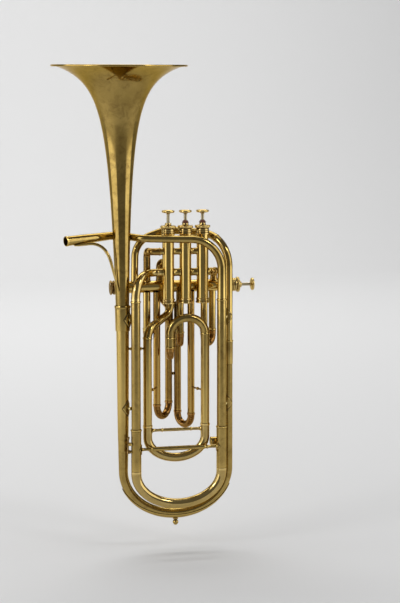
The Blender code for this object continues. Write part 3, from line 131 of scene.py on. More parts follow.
# Valves; the fourth lies across the back
VALVE_X = -7.4
VALVE_PITCH = 26.05
VALVE_Y = 14.0
CASING_R = 8.8
CASING_WALL = 1.0
CASING_BOTTOM = 335.0
CASING_LENGTH = 111.0
PORT_LOW = CASING_BOTTOM + 44.0
PORT_HIGH = CASING_BOTTOM + 75.0
KNUCKLE_R = 5.6
KNUCKLE_HIGH_R = 4.8
KNUCKLE_LEFT = CASING_R + 2.6
KNUCKLE_RIGHT = CASING_R + 3.0
CAP_R = 9.8
CAP_SEAT_R = CASING_R + 0.05
CAP_SKIRT = 11.0
CAP_BELOW = 2.6
FLANGE_R = 11.5
DOME_R = 4.7
STEM_R = 2.3
STEM_SHOWN = 15.5
STEM_BURIED = 24.0
PISTON_FOOT = 17.0
CAP_SEAT = 1.5
STEM_ROOT = 6.0
SPRING_HOLE = 15.0
SPRING_WIRE = 0.8
SPRING_R = 4.6
SPRING_TURNS = 5
REAR_Y = 34.0
REAR_Z = 356.0
REAR_LEFT = -89.0
REAR_RIGHT = 103.0

# Valve slides and links; the pairs are x and y, or the x of a front and a back leg
NARROW_R = 5.3
NARROW_WALL = 0.5
WIDE_LEFT = (-43.0, -5.0)
WIDE_RIGHT = (44.2, -5.0)
WIDE_LEFT_TOP = 283.0
WIDE_RIGHT_TOP = 289.0
WIDE_FERRULE = 154.0
WIDE_R = 6.4
WIDE_FERRULE_R = 7.1
WIDE_STRAIGHT = 18.5
WIDE_DROP = 31.5
WIDE_INSIDE = 100.0
WIDE_ROD_DROP = 8.0
WIDE_STAY_Z = 269.0
S_BEND = (-0.7, 31.0)
ARCH_LEFT = (-8.8, -5.0)
ARCH_RISE = 24.0
ARCH_END = 268.5
ARCH_BACK = (-3.8, 19.0)
ARCH_STRAIGHT = 5.2
ARCH_DROP = 8.4
ARCH_INSIDE = 16.0
RETURN_X = 1.0
RETURN_Y = 44.8
RETURN_PORT_X = -11.0
LINK_X = -16.4
LINK_TOP = REAR_Z + 37.0
LINK_ROOT = REAR_Z + CASING_R - 0.6
UPPER_LINK_X = -35.5
RIGHT_LINK_X = 66.5
LONG_FRONT_Y = 31.0
LONG_BACK_Y = 57.0
LONG_INSIDE = 60.0
# (name, legs, port's x, height of the joint, straight length of the slide)
LONG_SLIDES = (("first", (-21.4, 2.0), 2.0, 178.5, 3.0), ("third", (30.9, 15.8), 27.5, 163.5, 4.5))
# (other tube, its radius, height) of the small stay on a long slide's leg
LONG_STAYS = {"first_leg_front": (WIDE_LEFT, WIDE_R, 204.0),
              "third_leg_front": (WIDE_RIGHT, WIDE_R, 203.0),
              "first_leg_back": ((15.8, LONG_BACK_Y), NARROW_R, 220.0)}
SHORT_BACK_Y = 44.6
SHORT_INSIDE = 22.0
# (name, front leg, back leg, height of the joint, straight length of the slide)
SHORT_SLIDES = (
    ("first_short_slide", (-36.3, LONG_FRONT_Y), (-34.0, SHORT_BACK_Y), 290.0, 3.0),
    ("second_short_slide", (14.5, LONG_FRONT_Y), (16.5, SHORT_BACK_Y), 284.6, 9.0),
    ("third_short_slide", (51.0, LONG_FRONT_Y), (66.8, SHORT_BACK_Y), 286.0, 7.5))
STAY_UPPER_Z = 313.0
BELL_STAY_LOWER_Z = 181.0
BRANCH_STAY_LOWER_Z = 183.0
DIAMOND_TALL = 11.2
DIAMOND_WIDE = 9.2

# Stage, in metres
FLOOR_DROP = 0.035
FLOOR_NEAR = -4.2
FLOOR_FAR = 3.4
FLOOR_CURVE = 1.4
FLOOR_TOP = 4.2
FLOOR_HALF_WIDTH = 4.5
# (name, place, aim, width, height, watts)
LAMPS = (("left_panel", (-1.7, -0.3, 0.95), (0, 0, 0.6), 2.3, 1.9, 21),
         ("right_panel", (1.7, -0.9, 0.95), (0, 0, 0.6), 1.9, 1.9, 17),
         ("top", (0.0, 0.7, 2.5), (0, 0.5, 0.0), 1.8, 1.8, 19),
         ("left_floor", (-2.0502, -0.3618, 0.95), (-3.7502, -0.6618, 0.6), 2.3, 1.9, 14),
         ("right_floor", (1.9849, -1.0509, 0.95), (3.6849, -1.9509, 0.6), 1.9, 1.9, 13),
         ("left_lamp", (-2.0, -0.9, 1.55), (0, 0, 0.4), 0.45, 0.45, 7),
         ("right_lamp", (1.25, -1.4, 2.15), (0, 0, 0.4), 0.45, 0.45, 7),
         ("backdrop_light", (0.0, 2.4, 3.2), (0, 4.0, 0.6), 4.5, 1.6, 120))
FOCAL_PIXELS = 1850.0
PHOTO_HEIGHT = 603.0
SENSOR = 36.0
CAMERA_PLACE = (-0.5739, -2.6491, 0.6833)
CAMERA_LOOK = (0.22313, 0.96651, -0.12672)


def valve_x(number):
    return VALVE_X + (number - 1) * VALVE_PITCH


# (foot, direction, length) of each casing
VALVES = {number: (Vector((valve_x(number), VALVE_Y, CASING_BOTTOM)), Vector((0, 0, 1)),
                   CASING_LENGTH) for number in (1, 2, 3)}
VALVES[4] = (Vector((REAR_LEFT, REAR_Y, REAR_Z)), Vector((1, 0, 0)), REAR_RIGHT - REAR_LEFT)


# Materials

def new_material(name):
    """A new material, its node tree and its shader's inputs."""
    made = bpy.data.materials.new(name)
    made.use_nodes = True
    return made, made.node_tree, made.node_tree.nodes["Principled BSDF"].inputs


def add_node(tree, kind, **values):
    """A shader node; values are its properties or the values of its inputs."""
    node = tree.nodes.new(kind)
    for key, value in values.items():
        if hasattr(node, key):
            setattr(node, key, value)
        else:
            node.inputs[key.replace("_", " ")].default_value = value
    return node


def ramp_of(tree, source, stops):
    """A colour ramp's output; stops are (position, colour)."""
    ramp = add_node(tree, "ShaderNodeValToRGB")
    elements = ramp.color_ramp.elements
    while len(elements) > 1:
        elements.remove(elements[-1])
    elements[0].position, elements[0].color = stops[0]
    for position, colour in stops[1:]:
        elements.new(position).color = colour
    tree.links.new(source, ramp.inputs["Fac"])
    return ramp.outputs["Color"]


def shaded(colour, factor=1.0):
    """A colour for a socket, made darker or lighter."""
    return (*(min(part * factor, 0.9) for part in colour), 1.0)


def bump_into(tree, shader, height, strength, distance):
    relief = add_node(tree, "ShaderNodeBump", Strength=strength, Distance=distance)
    tree.links.new(height, relief.inputs["Height"])
    tree.links.new(relief.outputs["Normal"], shader["Normal"])


def brass_material(name, bright, dull, stain, rough, stain_amount, hollow_shade_amount=0.5,
                   edge=(0.86, 0.72, 0.46)):
    """Old rubbed brass: cloudy tone, tarnish in patches, painted shade in hollows and creases,
    edges lighter from wear and from a painted highlight, hairlines.
    """
    made, tree, shader = new_material(name)
    shader["Metallic"].default_value = 1.0
    shader["Specular Tint"].default_value = (*edge, 1.0)
    place = add_node(tree, "ShaderNodeTexCoord").outputs["Object"]

    def feed(sockets, values):
        for socket, value in zip(sockets, values):
            if isinstance(value, (float, tuple)):
                socket.default_value = value
            else:
                tree.links.new(value, socket)

    def noise(scale, detail, roughness, distortion=0.0):
        cloud = add_node(tree, "ShaderNodeTexNoise", Scale=scale, Detail=detail,
                         Roughness=roughness, Distortion=distortion)
        tree.links.new(place, cloud.inputs["Vector"])
        return cloud.outputs["Fac"]

    def mix(fac, a, b):
        blend = add_node(tree, "ShaderNodeMix", data_type="RGBA")
        feed((blend.inputs[0], blend.inputs[6], blend.inputs[7]), (fac, a, b))
        return blend.outputs[2]

    def reckon(kind, *values):
        node = add_node(tree, "ShaderNodeMath", operation=kind)
        feed(node.inputs, values)
        return node.outputs[0]

    def shelter(distance):
        hollow = add_node(tree, "ShaderNodeAmbientOcclusion", samples=8, Distance=distance)
        return hollow.outputs["AO"]

    def greys(source, *stops):
        return ramp_of(tree, source, [(at, (value, value, value, 1.0)) for at, value in stops])

    clouds = greys(noise(26.0, 5.0, 0.6, 0.4), (0.36, 0.0), (0.66, 1.0))
    patches = greys(noise(75.0, 7.0, 0.68, 0.9), (0.50, 0.0), (0.70, 1.0))
    specks = greys(noise(620.0, 3.0, 0.6), (0.60, 0.0), (0.74, 1.0))
    # painted shade: where occlusion within 12 mm finds hollows and gaps between tubes, the colour
    # darkens towards the stain
    hollow_shade_mask = greys(shelter(0.012), (0.30, 1.0), (0.85, 0.0))
    # painted shade: occlusion within 1.6 mm puts a dark line in tight creases, beside rings, beads
    # and flanges
    corner = greys(shelter(0.0016), (0.62, 0.85), (0.93, 0.0))
    point = add_node(tree, "ShaderNodeNewGeometry").outputs["Pointiness"]
    # lighter on sharp convex edges: rubbed wear, and a painted highlight that makes rings and rims
    # shine
    wear_and_edge_highlight = greys(point, (0.520, 0.0), (0.545, 0.85))
    tone = mix(clouds, shaded(bright), shaded(dull))
    tone = mix(reckon("MULTIPLY", patches, stain_amount), tone, shaded(stain))
    tone = mix(reckon("MULTIPLY", specks, 0.35), tone, shaded(stain, 0.55))
    tone = mix(reckon("MULTIPLY", hollow_shade_mask, hollow_shade_amount), tone, shaded(stain, 0.30))
    tone = mix(corner, tone, shaded(stain, 0.25))
    tone = mix(wear_and_edge_highlight, tone, shaded(bright, 1.35))
    tree.links.new(tone, shader["Base Color"])

    roughness = reckon("MULTIPLY_ADD", clouds, 0.05, rough)
    roughness = reckon("MULTIPLY_ADD", patches, 0.09, roughness)
    roughness = reckon("MULTIPLY_ADD", hollow_shade_mask, 0.10, roughness)
    tree.links.new(roughness, shader["Roughness"])
    height = reckon("MULTIPLY_ADD", noise(900.0, 2.0, 0.5), 0.05, noise(34.0, 2.0, 0.4))
    bump_into(tree, shader, height, 0.12, 0.0012)
    return made


def felt_material():
    made, tree, shader = new_material("dark_red_felt")
    place = add_node(tree, "ShaderNodeTexCoord").outputs["Object"]
    fuzz = add_node(tree, "ShaderNodeTexNoise", Scale=2200.0, Detail=4.0)
    tree.links.new(place, fuzz.inputs["Vector"])
    tone = ramp_of(tree, fuzz.outputs["Fac"],
                   [(0.3, (0.07, 0.015, 0.006, 1)), (0.7, (0.20, 0.055, 0.02, 1))])
    tree.links.new(tone, shader["Base Color"])
    shader["Roughness"].default_value = 0.95
    shader["Sheen Weight"].default_value = 0.4
    bump_into(tree, shader, fuzz.outputs["Fac"], 0.6, 0.0004)
    return made


# name, light, dull and stained tone, roughness, stain amount, strength of the painted shade in
# hollows, and edge
MATERIALS = {name: brass_material(name, *values) for name, *values in (
    ("aged_brass", (0.48, 0.34, 0.105), (0.36, 0.245, 0.07), (0.18, 0.10, 0.03), 0.08, 0.5, 0.42),
    ("bright_brass", (0.60, 0.44, 0.165), (0.46, 0.325, 0.11), (0.25, 0.155, 0.05), 0.07, 0.35,
     0.35),
    ("red_brass", (0.43, 0.275, 0.075), (0.32, 0.19, 0.05), (0.16, 0.08, 0.022), 0.08, 0.6),
    ("bell_brass", (0.41, 0.285, 0.085), (0.29, 0.195, 0.052), (0.15, 0.085, 0.025), 0.08, 0.6),
    ("rose_brass", (0.35, 0.19, 0.052), (0.25, 0.125, 0.033), (0.12, 0.055, 0.016), 0.08, 0.6),
    ("tarnished_brass", (0.24, 0.155, 0.06), (0.16, 0.10, 0.035), (0.08, 0.045, 0.018), 0.18, 0.5),
    ("polished_brass", (0.74, 0.58, 0.29), (0.62, 0.47, 0.21), (0.36, 0.25, 0.10), 0.06, 0.2, 0.0),
    ("nickel_silver", (0.52, 0.44, 0.28), (0.42, 0.34, 0.20), (0.24, 0.18, 0.10), 0.15, 0.35, 0.5,
     (0.95, 0.93, 0.88)),
    ("old_solder", (0.10, 0.065, 0.03), (0.07, 0.042, 0.018), (0.03, 0.018, 0.008), 0.35, 0.5),
    ("spring_steel", (0.55, 0.54, 0.52), (0.45, 0.44, 0.42), (0.25, 0.22, 0.2), 0.25, 0.4, 0.5,
     (0.95, 0.95, 0.95)))}
MATERIALS["dark_red_felt"] = felt_material()
NODE_SLOT = {entry["node"]: entry["material_slot"] for entry in frame["record"]["subparts"]}
NODE_BODY = {node: body for body, nodes in frame["record"]["behaviour"]["bodies"].items()
             for node in nodes}


# Centre lines, as in the part's source but with finer steps: rows of
# (distance, point, heading, a direction across that doesn't twist)

def with_measure(points, headings, across):
    line = []
    distance = 0.0
    side = (across - headings[0] * across.dot(headings[0])).normalized()
    for index, (point, heading) in enumerate(zip(points, headings)):
        if index:
            distance += (point - points[index - 1]).length
            side = headings[index - 1].rotation_difference(heading) @ side
        line.append((distance, point, heading, side))
    return line


def bent_line(corners, bends, across=(0, 1, 0), step=STEP):
    """A line through corners, each rounded to its radius in bends."""
    corners = [Vector(corner) for corner in corners]
    points = [corners[0]]
    headings = [(corners[1] - corners[0]).normalized()]
    for before, corner, after, radius in zip(corners, corners[1:], corners[2:], bends):
        arriving = (corner - before).normalized()
        leaving = (after - corner).normalized()
        turn = arriving.angle(leaving)
        axis = arriving.cross(leaving).normalized()
        start = corner - arriving * (radius * tan(turn / 2))
        centre = start + axis.cross(arriving) * radius
        count = max(3, round(turn / step))
        for index in range(count + 1):
            rotation = Matrix.Rotation(turn * index / count, 3, axis)
            points.append(centre + rotation @ (start - centre))
            headings.append(rotation @ arriving)
    points.append(corners[-1])
    headings.append((corners[-1] - corners[-2]).normalized())
    return with_measure(points, headings, Vector(across))


def straight_line(start, end, across=(0, 0, 1)):
    return bent_line([start, end], [], across)


def level_line(left, right, y, z):
    return straight_line((left, y, z), (right, y, z))


def bow_line(left, right, drop, left_leg, right_leg, up=False, steps=44):
    """A half ellipse between two straight legs, hanging down or standing up."""
    left = Vector(left)
    right = Vector(right)
    middle = (left + right) / 2
    half = (right - left) / 2
    rise = Vector((0, 0, drop if up else -drop))
    legs = Vector((0, 0, -1 if up else 1))
    points = [left + legs * left_leg]
    headings = [-legs]
    for angle in sweep(0, 180, steps):
        points.append(middle - half * cos(angle) + rise * sin(angle))
        headings.append((half * sin(angle) + rise * cos(angle)).normalized())
    points.append(right + legs * right_leg)
    headings.append(legs)
    return with_measure(points, headings, rise.cross(half).normalized())


def length_of(line):
    return line[-1][0]


def place_on(line, distance):
    for (d0, p0, h0, a0), (d1, p1, h1, a1) in zip(line, line[1:]):
        if distance <= d1 + 1e-6:
            part = (distance - d0) / (d1 - d0) if d1 > d0 else 0.0
            return p0.lerp(p1, part), h0.lerp(h1, part).normalized(), a0.lerp(a1, part).normalized()
    return line[-1][1:]


def leg_facets(front, back):
    """Directions across a straight and a turning leg that face the two legs' spread."""
    spread = (Vector(back) - Vector(front)).normalized()
    return (spread.y, -spread.x, 0), (spread.y, 0, -spread.x)


def sweep(first, last, steps):
    """Angles from first to last, which are in degrees."""
    return [radians(first + (last - first) * index / steps) for index in range(steps + 1)]


# Outlines: lists of (distance, radius) along a tube or (radius, height) of a turned shape

def radius_on(outline, distance):
    for (d0, r0), (d1, r1) in zip(outline, outline[1:]):
        if distance <= d1:
            return r0 if d1 == d0 else r0 + (r1 - r0) * (distance - d0) / (d1 - d0)
    return outline[-1][1]


def swollen(radius, points, start=0.0):
    """Tube outline from (distance past the start, growth over the radius)."""
    return [(start + at, radius + more) for at, more in points]


def turned_over(radius, points):
    """Turned outline from (growth over the radius, height)."""
    return [(radius + more, height) for more, height in points]


def both_ends(half, end):
    """The outline of a tube whose ends are alike."""
    return half + [(end - distance, radius) for distance, radius in reversed(half)]


def rounded_bead(at, radius, half, swell, steps=6):
    """Outline points of a half-round ring on a tube."""
    points = [(at - half - 0.12, radius)]
    for angle in sweep(0, 180, steps):
        points.append((at - half * cos(angle), radius + swell * sin(angle) ** 0.7))
    points.append((at + half + 0.12, radius))
    return points


# Meshes: every shape is a bmesh in millimetres

def add_ring(bm, place, radius, sides):
    point, heading, across = place
    beside = heading.cross(across)
    ring = []
    for angle in sweep(0, 360, sides)[:-1]:
        way = across * cos(angle) + beside * sin(angle)
        ring.append(bm.verts.new(point + way * radius))
    return ring


def join_rings(bm, first, second):
    for a, b, c, d in zip(first, first[1:] + first[:1], second[1:] + second[:1], second):
        bm.faces.new((a, b, c, d))


def tube_mesh(line, outline, bore=None, sides=SIDES, bm=None):
    """A tube with its outline's steps, its ends closed by flat rims or by caps."""
    bm = bm or bmesh.new()
    skins = []
    for shape in (outline, bore):
        if not shape:
            continue
        wanted = list(shape)
        for distance, *_ in line:
            inside = shape[0][0] < distance < shape[-1][0]
            if inside and all(abs(distance - d) > 0.12 for d, _ in shape):
                wanted.append((distance, radius_on(shape, distance)))
        wanted.sort(key=lambda pair: pair[0])
        rings = [add_ring(bm, place_on(line, distance), radius, sides)
                 for distance, radius in wanted]
        for ring, following in zip(rings, rings[1:]):
            join_rings(bm, ring, following)
        skins.append(rings)
    for end in (0, -1):
        if bore:
            join_rings(bm, skins[0][end], skins[1][end])
        else:
            bm.faces.new(skins[0][end])
    return bm


def turned_mesh(outline, base=(0, 0, 0), axis=(0, 0, 1), sides=64, knurl=None):
    """A turned shape. knurl is (first point, last point, teeth, depth) on the outline."""
    bm = bmesh.new()
    turn = Vector((0, 0, 1)).rotation_difference(Vector(axis)).to_matrix()
    rows = []
    for number, (radius, height) in enumerate(outline):
        if radius < 1e-6:
            rows.append([bm.verts.new(Vector(base) + turn @ Vector((0, 0, height)))])
            continue
        row = []
        for angle in sweep(0, 360, sides)[:-1]:
            reach = radius
            if knurl and knurl[0] <= number <= knurl[1]:
                reach -= knurl[3] * (0.5 + 0.5 * cos(angle * knurl[2]))
            spot = Vector((reach * cos(angle), reach * sin(angle), height))
            row.append(bm.verts.new(Vector(base) + turn @ spot))
        rows.append(row)
    closed = outline[0][0] > 1e-6
    for row, following in zip(rows, rows[1:] + (rows[:1] if closed else [])):
        if len(row) == 1 or len(following) == 1:
            tip, rest = (row[0], following) if len(row) == 1 else (following[0], row)
            for a, b in zip(rest, rest[1:] + rest[:1]):
                bm.faces.new((tip, a, b))
        else:
            join_rings(bm, row, following)
    return bm


def strap_mesh(line, radius, thick, wraps, arc_steps, bm=None):
    """A thin plate wrapped on a tube, with eased edges; wraps are half angles in degrees."""
    bm = bm or bmesh.new()
    loops = []
    for (_, point, heading, across), tube_r, wrap in zip(line, radius, wraps):
        beside = heading.cross(across)
        loop = []
        for lift, order in ((0.0, 1), (thick, -1)):
            row = []
            for index in range(arc_steps + 1):
                part = 2 * index / arc_steps - 1
                angle = radians(wrap) * part
                ease = 0.45 * thick * max(0.0, (abs(part) - 0.86) / 0.14) ** 2 if lift else 0.0
                way = across * cos(angle) + beside * sin(angle)
                row.append(bm.verts.new(point + way * (tube_r + lift - ease)))
            loop += row[::order]
        loops.append(loop)
    for loop, following in zip(loops, loops[1:]):
        join_rings(bm, loop, following)
    bm.faces.new(loops[0])
    bm.faces.new(loops[-1])
    return bm


def mesh_of(name, bm):
    mesh = bpy.data.meshes.new(name)
    bm.to_mesh(mesh)
    bm.free()
    return mesh


def add_box(bm, low, high, ease=0.3):
    """Add a block with eased edges."""
    low, high = Vector(low), Vector(high)
    block = bmesh.new()
    size = Matrix.Diagonal((*(high - low), 1.0))
    bmesh.ops.create_cube(block, size=1.0, matrix=Matrix.Translation((low + high) / 2) @ size)
    bmesh.ops.bevel(block, geom=block.edges[:], offset=ease, segments=2, affect='EDGES')
    mesh = mesh_of("block", block)
    bm.from_mesh(mesh)
    bpy.data.meshes.remove(mesh)


def add_object(name, data, place=(0, 0, 0), look=None):
    """Put an object in the scene; a lamp or camera looks along its look."""
    obj = bpy.data.objects.new(name, data)
    bpy.context.scene.collection.objects.link(obj)
    obj.location = place
    if look:
        obj.rotation_euler = look.to_track_quat('-Z', 'Y').to_euler()
    return obj


def piece(name, bm, material=None, body=None, nodes=None, smooth=32.0):
    """Make a shape a piece of the object; by default it stands for the CAD node of its name."""
    nodes = [name] if nodes is None else nodes
    bmesh.ops.recalc_face_normals(bm, faces=bm.faces)
    bmesh.ops.transform(bm, matrix=Matrix.Scale(MM, 4), verts=bm.verts)
    mesh = mesh_of(name + "_fine", bm)
    slot = NODE_SLOT[nodes[0]] if nodes else None
    mesh.materials.append(MATERIALS[material or slot])
    mesh.shade_smooth()
    mesh.set_sharp_from_angle(angle=radians(smooth))
    obj = add_object(name + "_fine", mesh)
    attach(obj, body or NODE_BODY[nodes[0]])
    if nodes:
        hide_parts(*nodes)
    return obj


# Bell and outer tube

def flare_radius(below_rim):
    return RIM_RADIUS * (FLARE_START / (below_rim + FLARE_START)) ** FLARE_POWER


def make_bell():
    """The flare, rolled over a wire at its rim, which leans a little."""
    depth = RIM_HEIGHT - BELL_END
    stations = 90
    marks = [depth * (index / stations) ** 2.0 for index in range(stations + 1)]
    outer = [(flare_radius(mark), -mark) for mark in marks if mark > 1.6]
    inner = [(flare_radius(mark) - BELL_WALL, -mark) for mark in marks if mark > 0.5]
    wire = []
    for angle in sweep(-115, 175, 14)[:-1]:
        wire.append((RIM_RADIUS - 0.15 + RIM_WIRE_R * cos(angle),
                     -0.75 + RIM_WIRE_R * sin(angle)))
    wire.append((RIM_RADIUS - 2.2, -0.55))
    outline = outer[::-1] + wire + inner
    bm = turned_mesh([(radius, height + depth) for radius, height in outline], sides=128)
    lean = Matrix.Translation((LEFT_X, 0, BELL_END)) @ Matrix.Rotation(-BELL_LEAN, 4, 'Y')
    bmesh.ops.transform(bm, matrix=lean, verts=bm.verts)
    for vert in bm.verts:
        part = max(0.0, (vert.co.z - RIM_TILT_FROM) / (RIM_HEIGHT - RIM_TILT_FROM))
        vert.co.z -= tan(RIM_TILT) * (vert.co.x - LEFT_X) * part * part
    piece("bell", bm, "bell_brass", smooth=40)


def make_bell_ferrule():
    """The cone that joins the bell to its leg, with a half-round bead on top."""
    bell_r = flare_radius(RIM_HEIGHT - BELL_JOINT) + GAP + 0.1
    leg_r = BELL_LEG_TOP_R + GAP
    foot = LEG_TOP - FERRULE_LAP
    top_r = bell_r + 0.3 + FERRULE_WALL
    step_r = BELL_LEG_TOP_R - 1.5
    skirt = leg_r + 0.2 + FERRULE_WALL
    outline = [(leg_r, foot), (skirt - 0.3, foot), (skirt, foot + 0.3)]
    outline += [(top_r - 0.1, BELL_JOINT - 4.2), (top_r + 0.1, BELL_JOINT - 3.9)]
    for angle in sweep(-90, 90, 8):
        outline.append((top_r + 0.7 * cos(angle) ** 0.8,
                        BELL_JOINT - 1.9 + 1.9 * sin(angle)))
    outline += [(bell_r, BELL_JOINT), (bell_r, BELL_END - GAP), (step_r, BELL_END - GAP),
                (step_r, LEG_TOP + GAP), (leg_r, LEG_TOP + GAP)]
    piece("bell_ferrule", turned_mesh(outline, (LEFT_X, 0, 0)))


def make_bell_bow():
    """The bell's leg, the bottom bow and the right leg up to its sleeve, and the bow's guard."""
    right_leg = BRANCH_JOINT - BOW_TOP
    line = bow_line((LEFT_X, 0, BOW_TOP), (RIGHT_X, 0, BOW_TOP), BOW_DROP, LEG_TOP - BOW_TOP,
                    right_leg, steps=72)
    end = length_of(line)
    middle = (LEG_TOP - BOW_TOP + end - right_leg) / 2
    plain = [(LEG_TOP - height, radius) for height, radius in BELL_LEG[::-1]]
    plain += [(middle, BOW_R), (end - right_leg, BRANCH_R + 0.1)]
    sleeve = swollen(BRANCH_R, [(-0.05, 0), (0, 0.15), (0.35, 0.5)], end - BRANCH_SLEEVE)
    sleeve += swollen(BRANCH_R, [(-2.95, 0.5), (-2.7, 0.5), (-2.4, 0.95), (-1.9, 1.15),
                                 (-0.5, 1.15), (-0.1, 0.95), (0, 0.7)], end)
    bore = [(d, r - TUBE_WALL) for d, r in plain[:4]] + [(end, BRANCH_R - TUBE_WALL)]
    piece("bell_bow", tube_mesh(line, plain + sleeve, bore, 48))
    guarded = [entry for entry in line if entry[1].z < GUARD_TOP]
    last = len(guarded) - 1
    radii = [radius_on(plain, entry[0]) + GAP for entry in guarded]
    wraps = [GUARD_TIP_WRAP + (GUARD_WRAP - GUARD_TIP_WRAP)
             * sin(pi * index / last) ** 0.85 for index in range(last + 1)]
    lowest = guarded[(last + 1) // 2]
    side = 1 if lowest[3].cross(lowest[2]).z < 0 else -1
    outward = [(d, p, h, side * a.cross(h)) for d, p, h, a in guarded]
    piece("bow_guard", strap_mesh(outward, radii, GUARD_THICK, wraps, GUARD_SIDES))


def make_foot_knob():
    top = BOW_BOTTOM - BOW_R - GAP - GUARD_THICK - GAP - 0.1
    ball = FOOT_BALL_R
    outline = [(0, 0), (FOOT_FLAT_R, 0)]
    for turn in sweep(-56, 49, 15):
        outline.append((ball * cos(turn), ball * (1 + sin(turn)) * 0.98))
    outline += turned_over(FOOT_NECK_R, [(0, top - 2.0), (0.2, top - 1.6)])
    outline += turned_over(ball, [(-0.6, top - 1.3), (-0.2, top - 0.9), (-0.2, top - 0.3),
                                  (-0.5, top)])
    piece("foot_knob", turned_mesh(outline + [(0, top)], sides=48))


def make_branch():
    line = bent_line(BRANCH_ROUTE, [46, 17, 60, 34], step=FINE_STEP)
    end = length_of(line)
    outline = [(0, BRANCH_R - 0.5), (7.75, BRANCH_R - 0.5), (7.8, BRANCH_R)]
    outline += rounded_bead(end * 0.47, BRANCH_R - 0.25, 1.4, 0.55) + [(end, BRANCH_END_R)]
    piece("branch_tube", tube_mesh(line, outline, None, 44))


def make_mouthpipe():
    line = bent_line(MOUTHPIPE_ROUTE + [(*TUNING_RIGHT, 429), (*TUNING_RIGHT, TUNING_TOP + GAP)],
                     [30, 40, 45], step=FINE_STEP)
    end = length_of(line)
    outline = [(0, 7.15), (0.35, 7.5), (2.6, 7.5), (2.9, 7.1), (30, 6.9), (80, 5.7), (125, 5.2)]
    outline += swollen(TUNING_R - GAP, [(-0.3, 0), (0, -0.2)], end)
    bore = [(0, 6.4), (30, 5.6), (125, 4.5), (end, TUNING_R - GAP - TUBE_WALL)]
    piece("mouthpipe", tube_mesh(line, outline, bore, 48))


def make_mouthpipe_brace():
    line = bent_line(BRACE_ROUTE, [24, 40])
    end = length_of(line)
    outline = [(0, 0.4), (0.8, 1.0), (6, 1.7), (20, 2.2), (end * 0.6, 2.3), (end - 1, 1.1),
               (end, 0.5)]
    piece("mouthpipe_brace", tube_mesh(line, outline, None, 20))


# Main tuning slide

def make_tuning_legs():
    """Legs with a ring at the top and a wider sleeve below; the left one carries the key."""
    for name, place in (("tuning_leg_left", TUNING_LEFT), ("tuning_leg_right", TUNING_RIGHT)):
        line = straight_line((*place, TUNING_TOP), (*place, TUNING_JOINT + GAP), (0, 1, 0))
        end = length_of(line)
        step = TUNING_TOP - TUNING_FERRULE
        outline = swollen(TUNING_R, [(0, 0.2), (0.2, 0.6), (0.7, 0.9), (1.7, 0.9), (2.3, 0.5),
                                     (2.5, 0)])
        outline += swollen(TUNING_R, [(-1.2, 0), (-0.9, 0.5)], step)
        outline += swollen(SLEEVE_R, [(-0.6, 0.4), (0, 0.8), (1.3, 0.8), (1.9, 0.4), (2.1, 0)],
                           step)
        outline += swollen(SLEEVE_R, [(-0.25, 0), (0, -0.2)], end)
        narrow = TUNING_R - TUBE_WALL
        wide = SLEEVE_R - SLEEVE_WALL
        bore = [(0, narrow), (step + 3, narrow), (step + 3.1, wide), (end, wide)]
        bm = tube_mesh(line, outline, bore, 48)
        if name == "tuning_leg_left":
            add_key_saddle(bm)
        piece(name, bm)


def add_key_saddle(bm):
    """The water key's plate, two ears, pin and nipple."""
    x, y, z = KEY_HINGE
    half = KEY_HUB / 2
    back = TUNING_LEFT[0] - SLEEVE_R + 0.45
    edge = half + GAP + 1.6
    add_box(bm, (back - 1.8, y - edge, z - 1.8), (back, y + edge, z + 1.8))
    for side in (-1, 1):
        inner, outer = sorted((y + side * (half + GAP), y + side * edge))
        add_box(bm, (x - 1.6, inner, z - 1.7), (back - 0.9, outer, z + 1.7), 0.45)
    reach = Vector((0, half + 1.6, 0))
    line = straight_line(KEY_HINGE - reach, KEY_HINGE + reach)
    tube_mesh(line, [(0, KEY_PIN_R), (length_of(line), KEY_PIN_R)], None, 16, bm)
    line = level_line(back, NIPPLE_X, y, KEY_PAD_Z)
    tube_mesh(line, [(0, 2.4), (length_of(line), 2.1)], None, 24, bm)


def make_water_key():
    """A hub on the pin, two arms with spatulate ends and the pad over the nipple."""
    half = Vector((0, KEY_HUB / 2, 0))
    line = straight_line(KEY_HINGE - half, KEY_HINGE + half)
    end = length_of(line)
    hub = [(0, KEY_HUB_R - 0.3), (0.3, KEY_HUB_R)] + rounded_bead(end / 2, KEY_HUB_R, 1.0, 0.35)
    hub += swollen(KEY_HUB_R, [(-0.3, 0), (0, -0.3)], end)
    bm = tube_mesh(line, hub, [(0, KEY_PIN_R + 0.15), (end, KEY_PIN_R + 0.15)], 24)
    for start, finish in (((-0.6, 0, 1.6), (-0.8, 0, 11)), ((-1.1, 0, -1.6), (-0.8, 0, -14))):
        line = straight_line(KEY_HINGE + Vector(start), KEY_HINGE + Vector(finish), (0, 1, 0))
        end = length_of(line)
        arm = [(0, 1.3), (end - 5, 1.2), (end - 2, 2.2), (end - 0.6, 2.4), (end, 1.8)]
        tube_mesh(line, arm, None, 16, bm)
    wall = NIPPLE_X - GAP
    line = level_line(wall, wall - 2.6, KEY_HINGE.y, KEY_PAD_Z)
    tube_mesh(line, [(0, 2.6), (0.2, 2.8), (2.4, 2.8), (2.6, 2.5)], None, 24, bm)
    # dark tarnished brass: the key's tarnish, and painted shade for the gap between the tubes in
    # which it hangs
    piece("water_key", bm, "tarnished_brass")


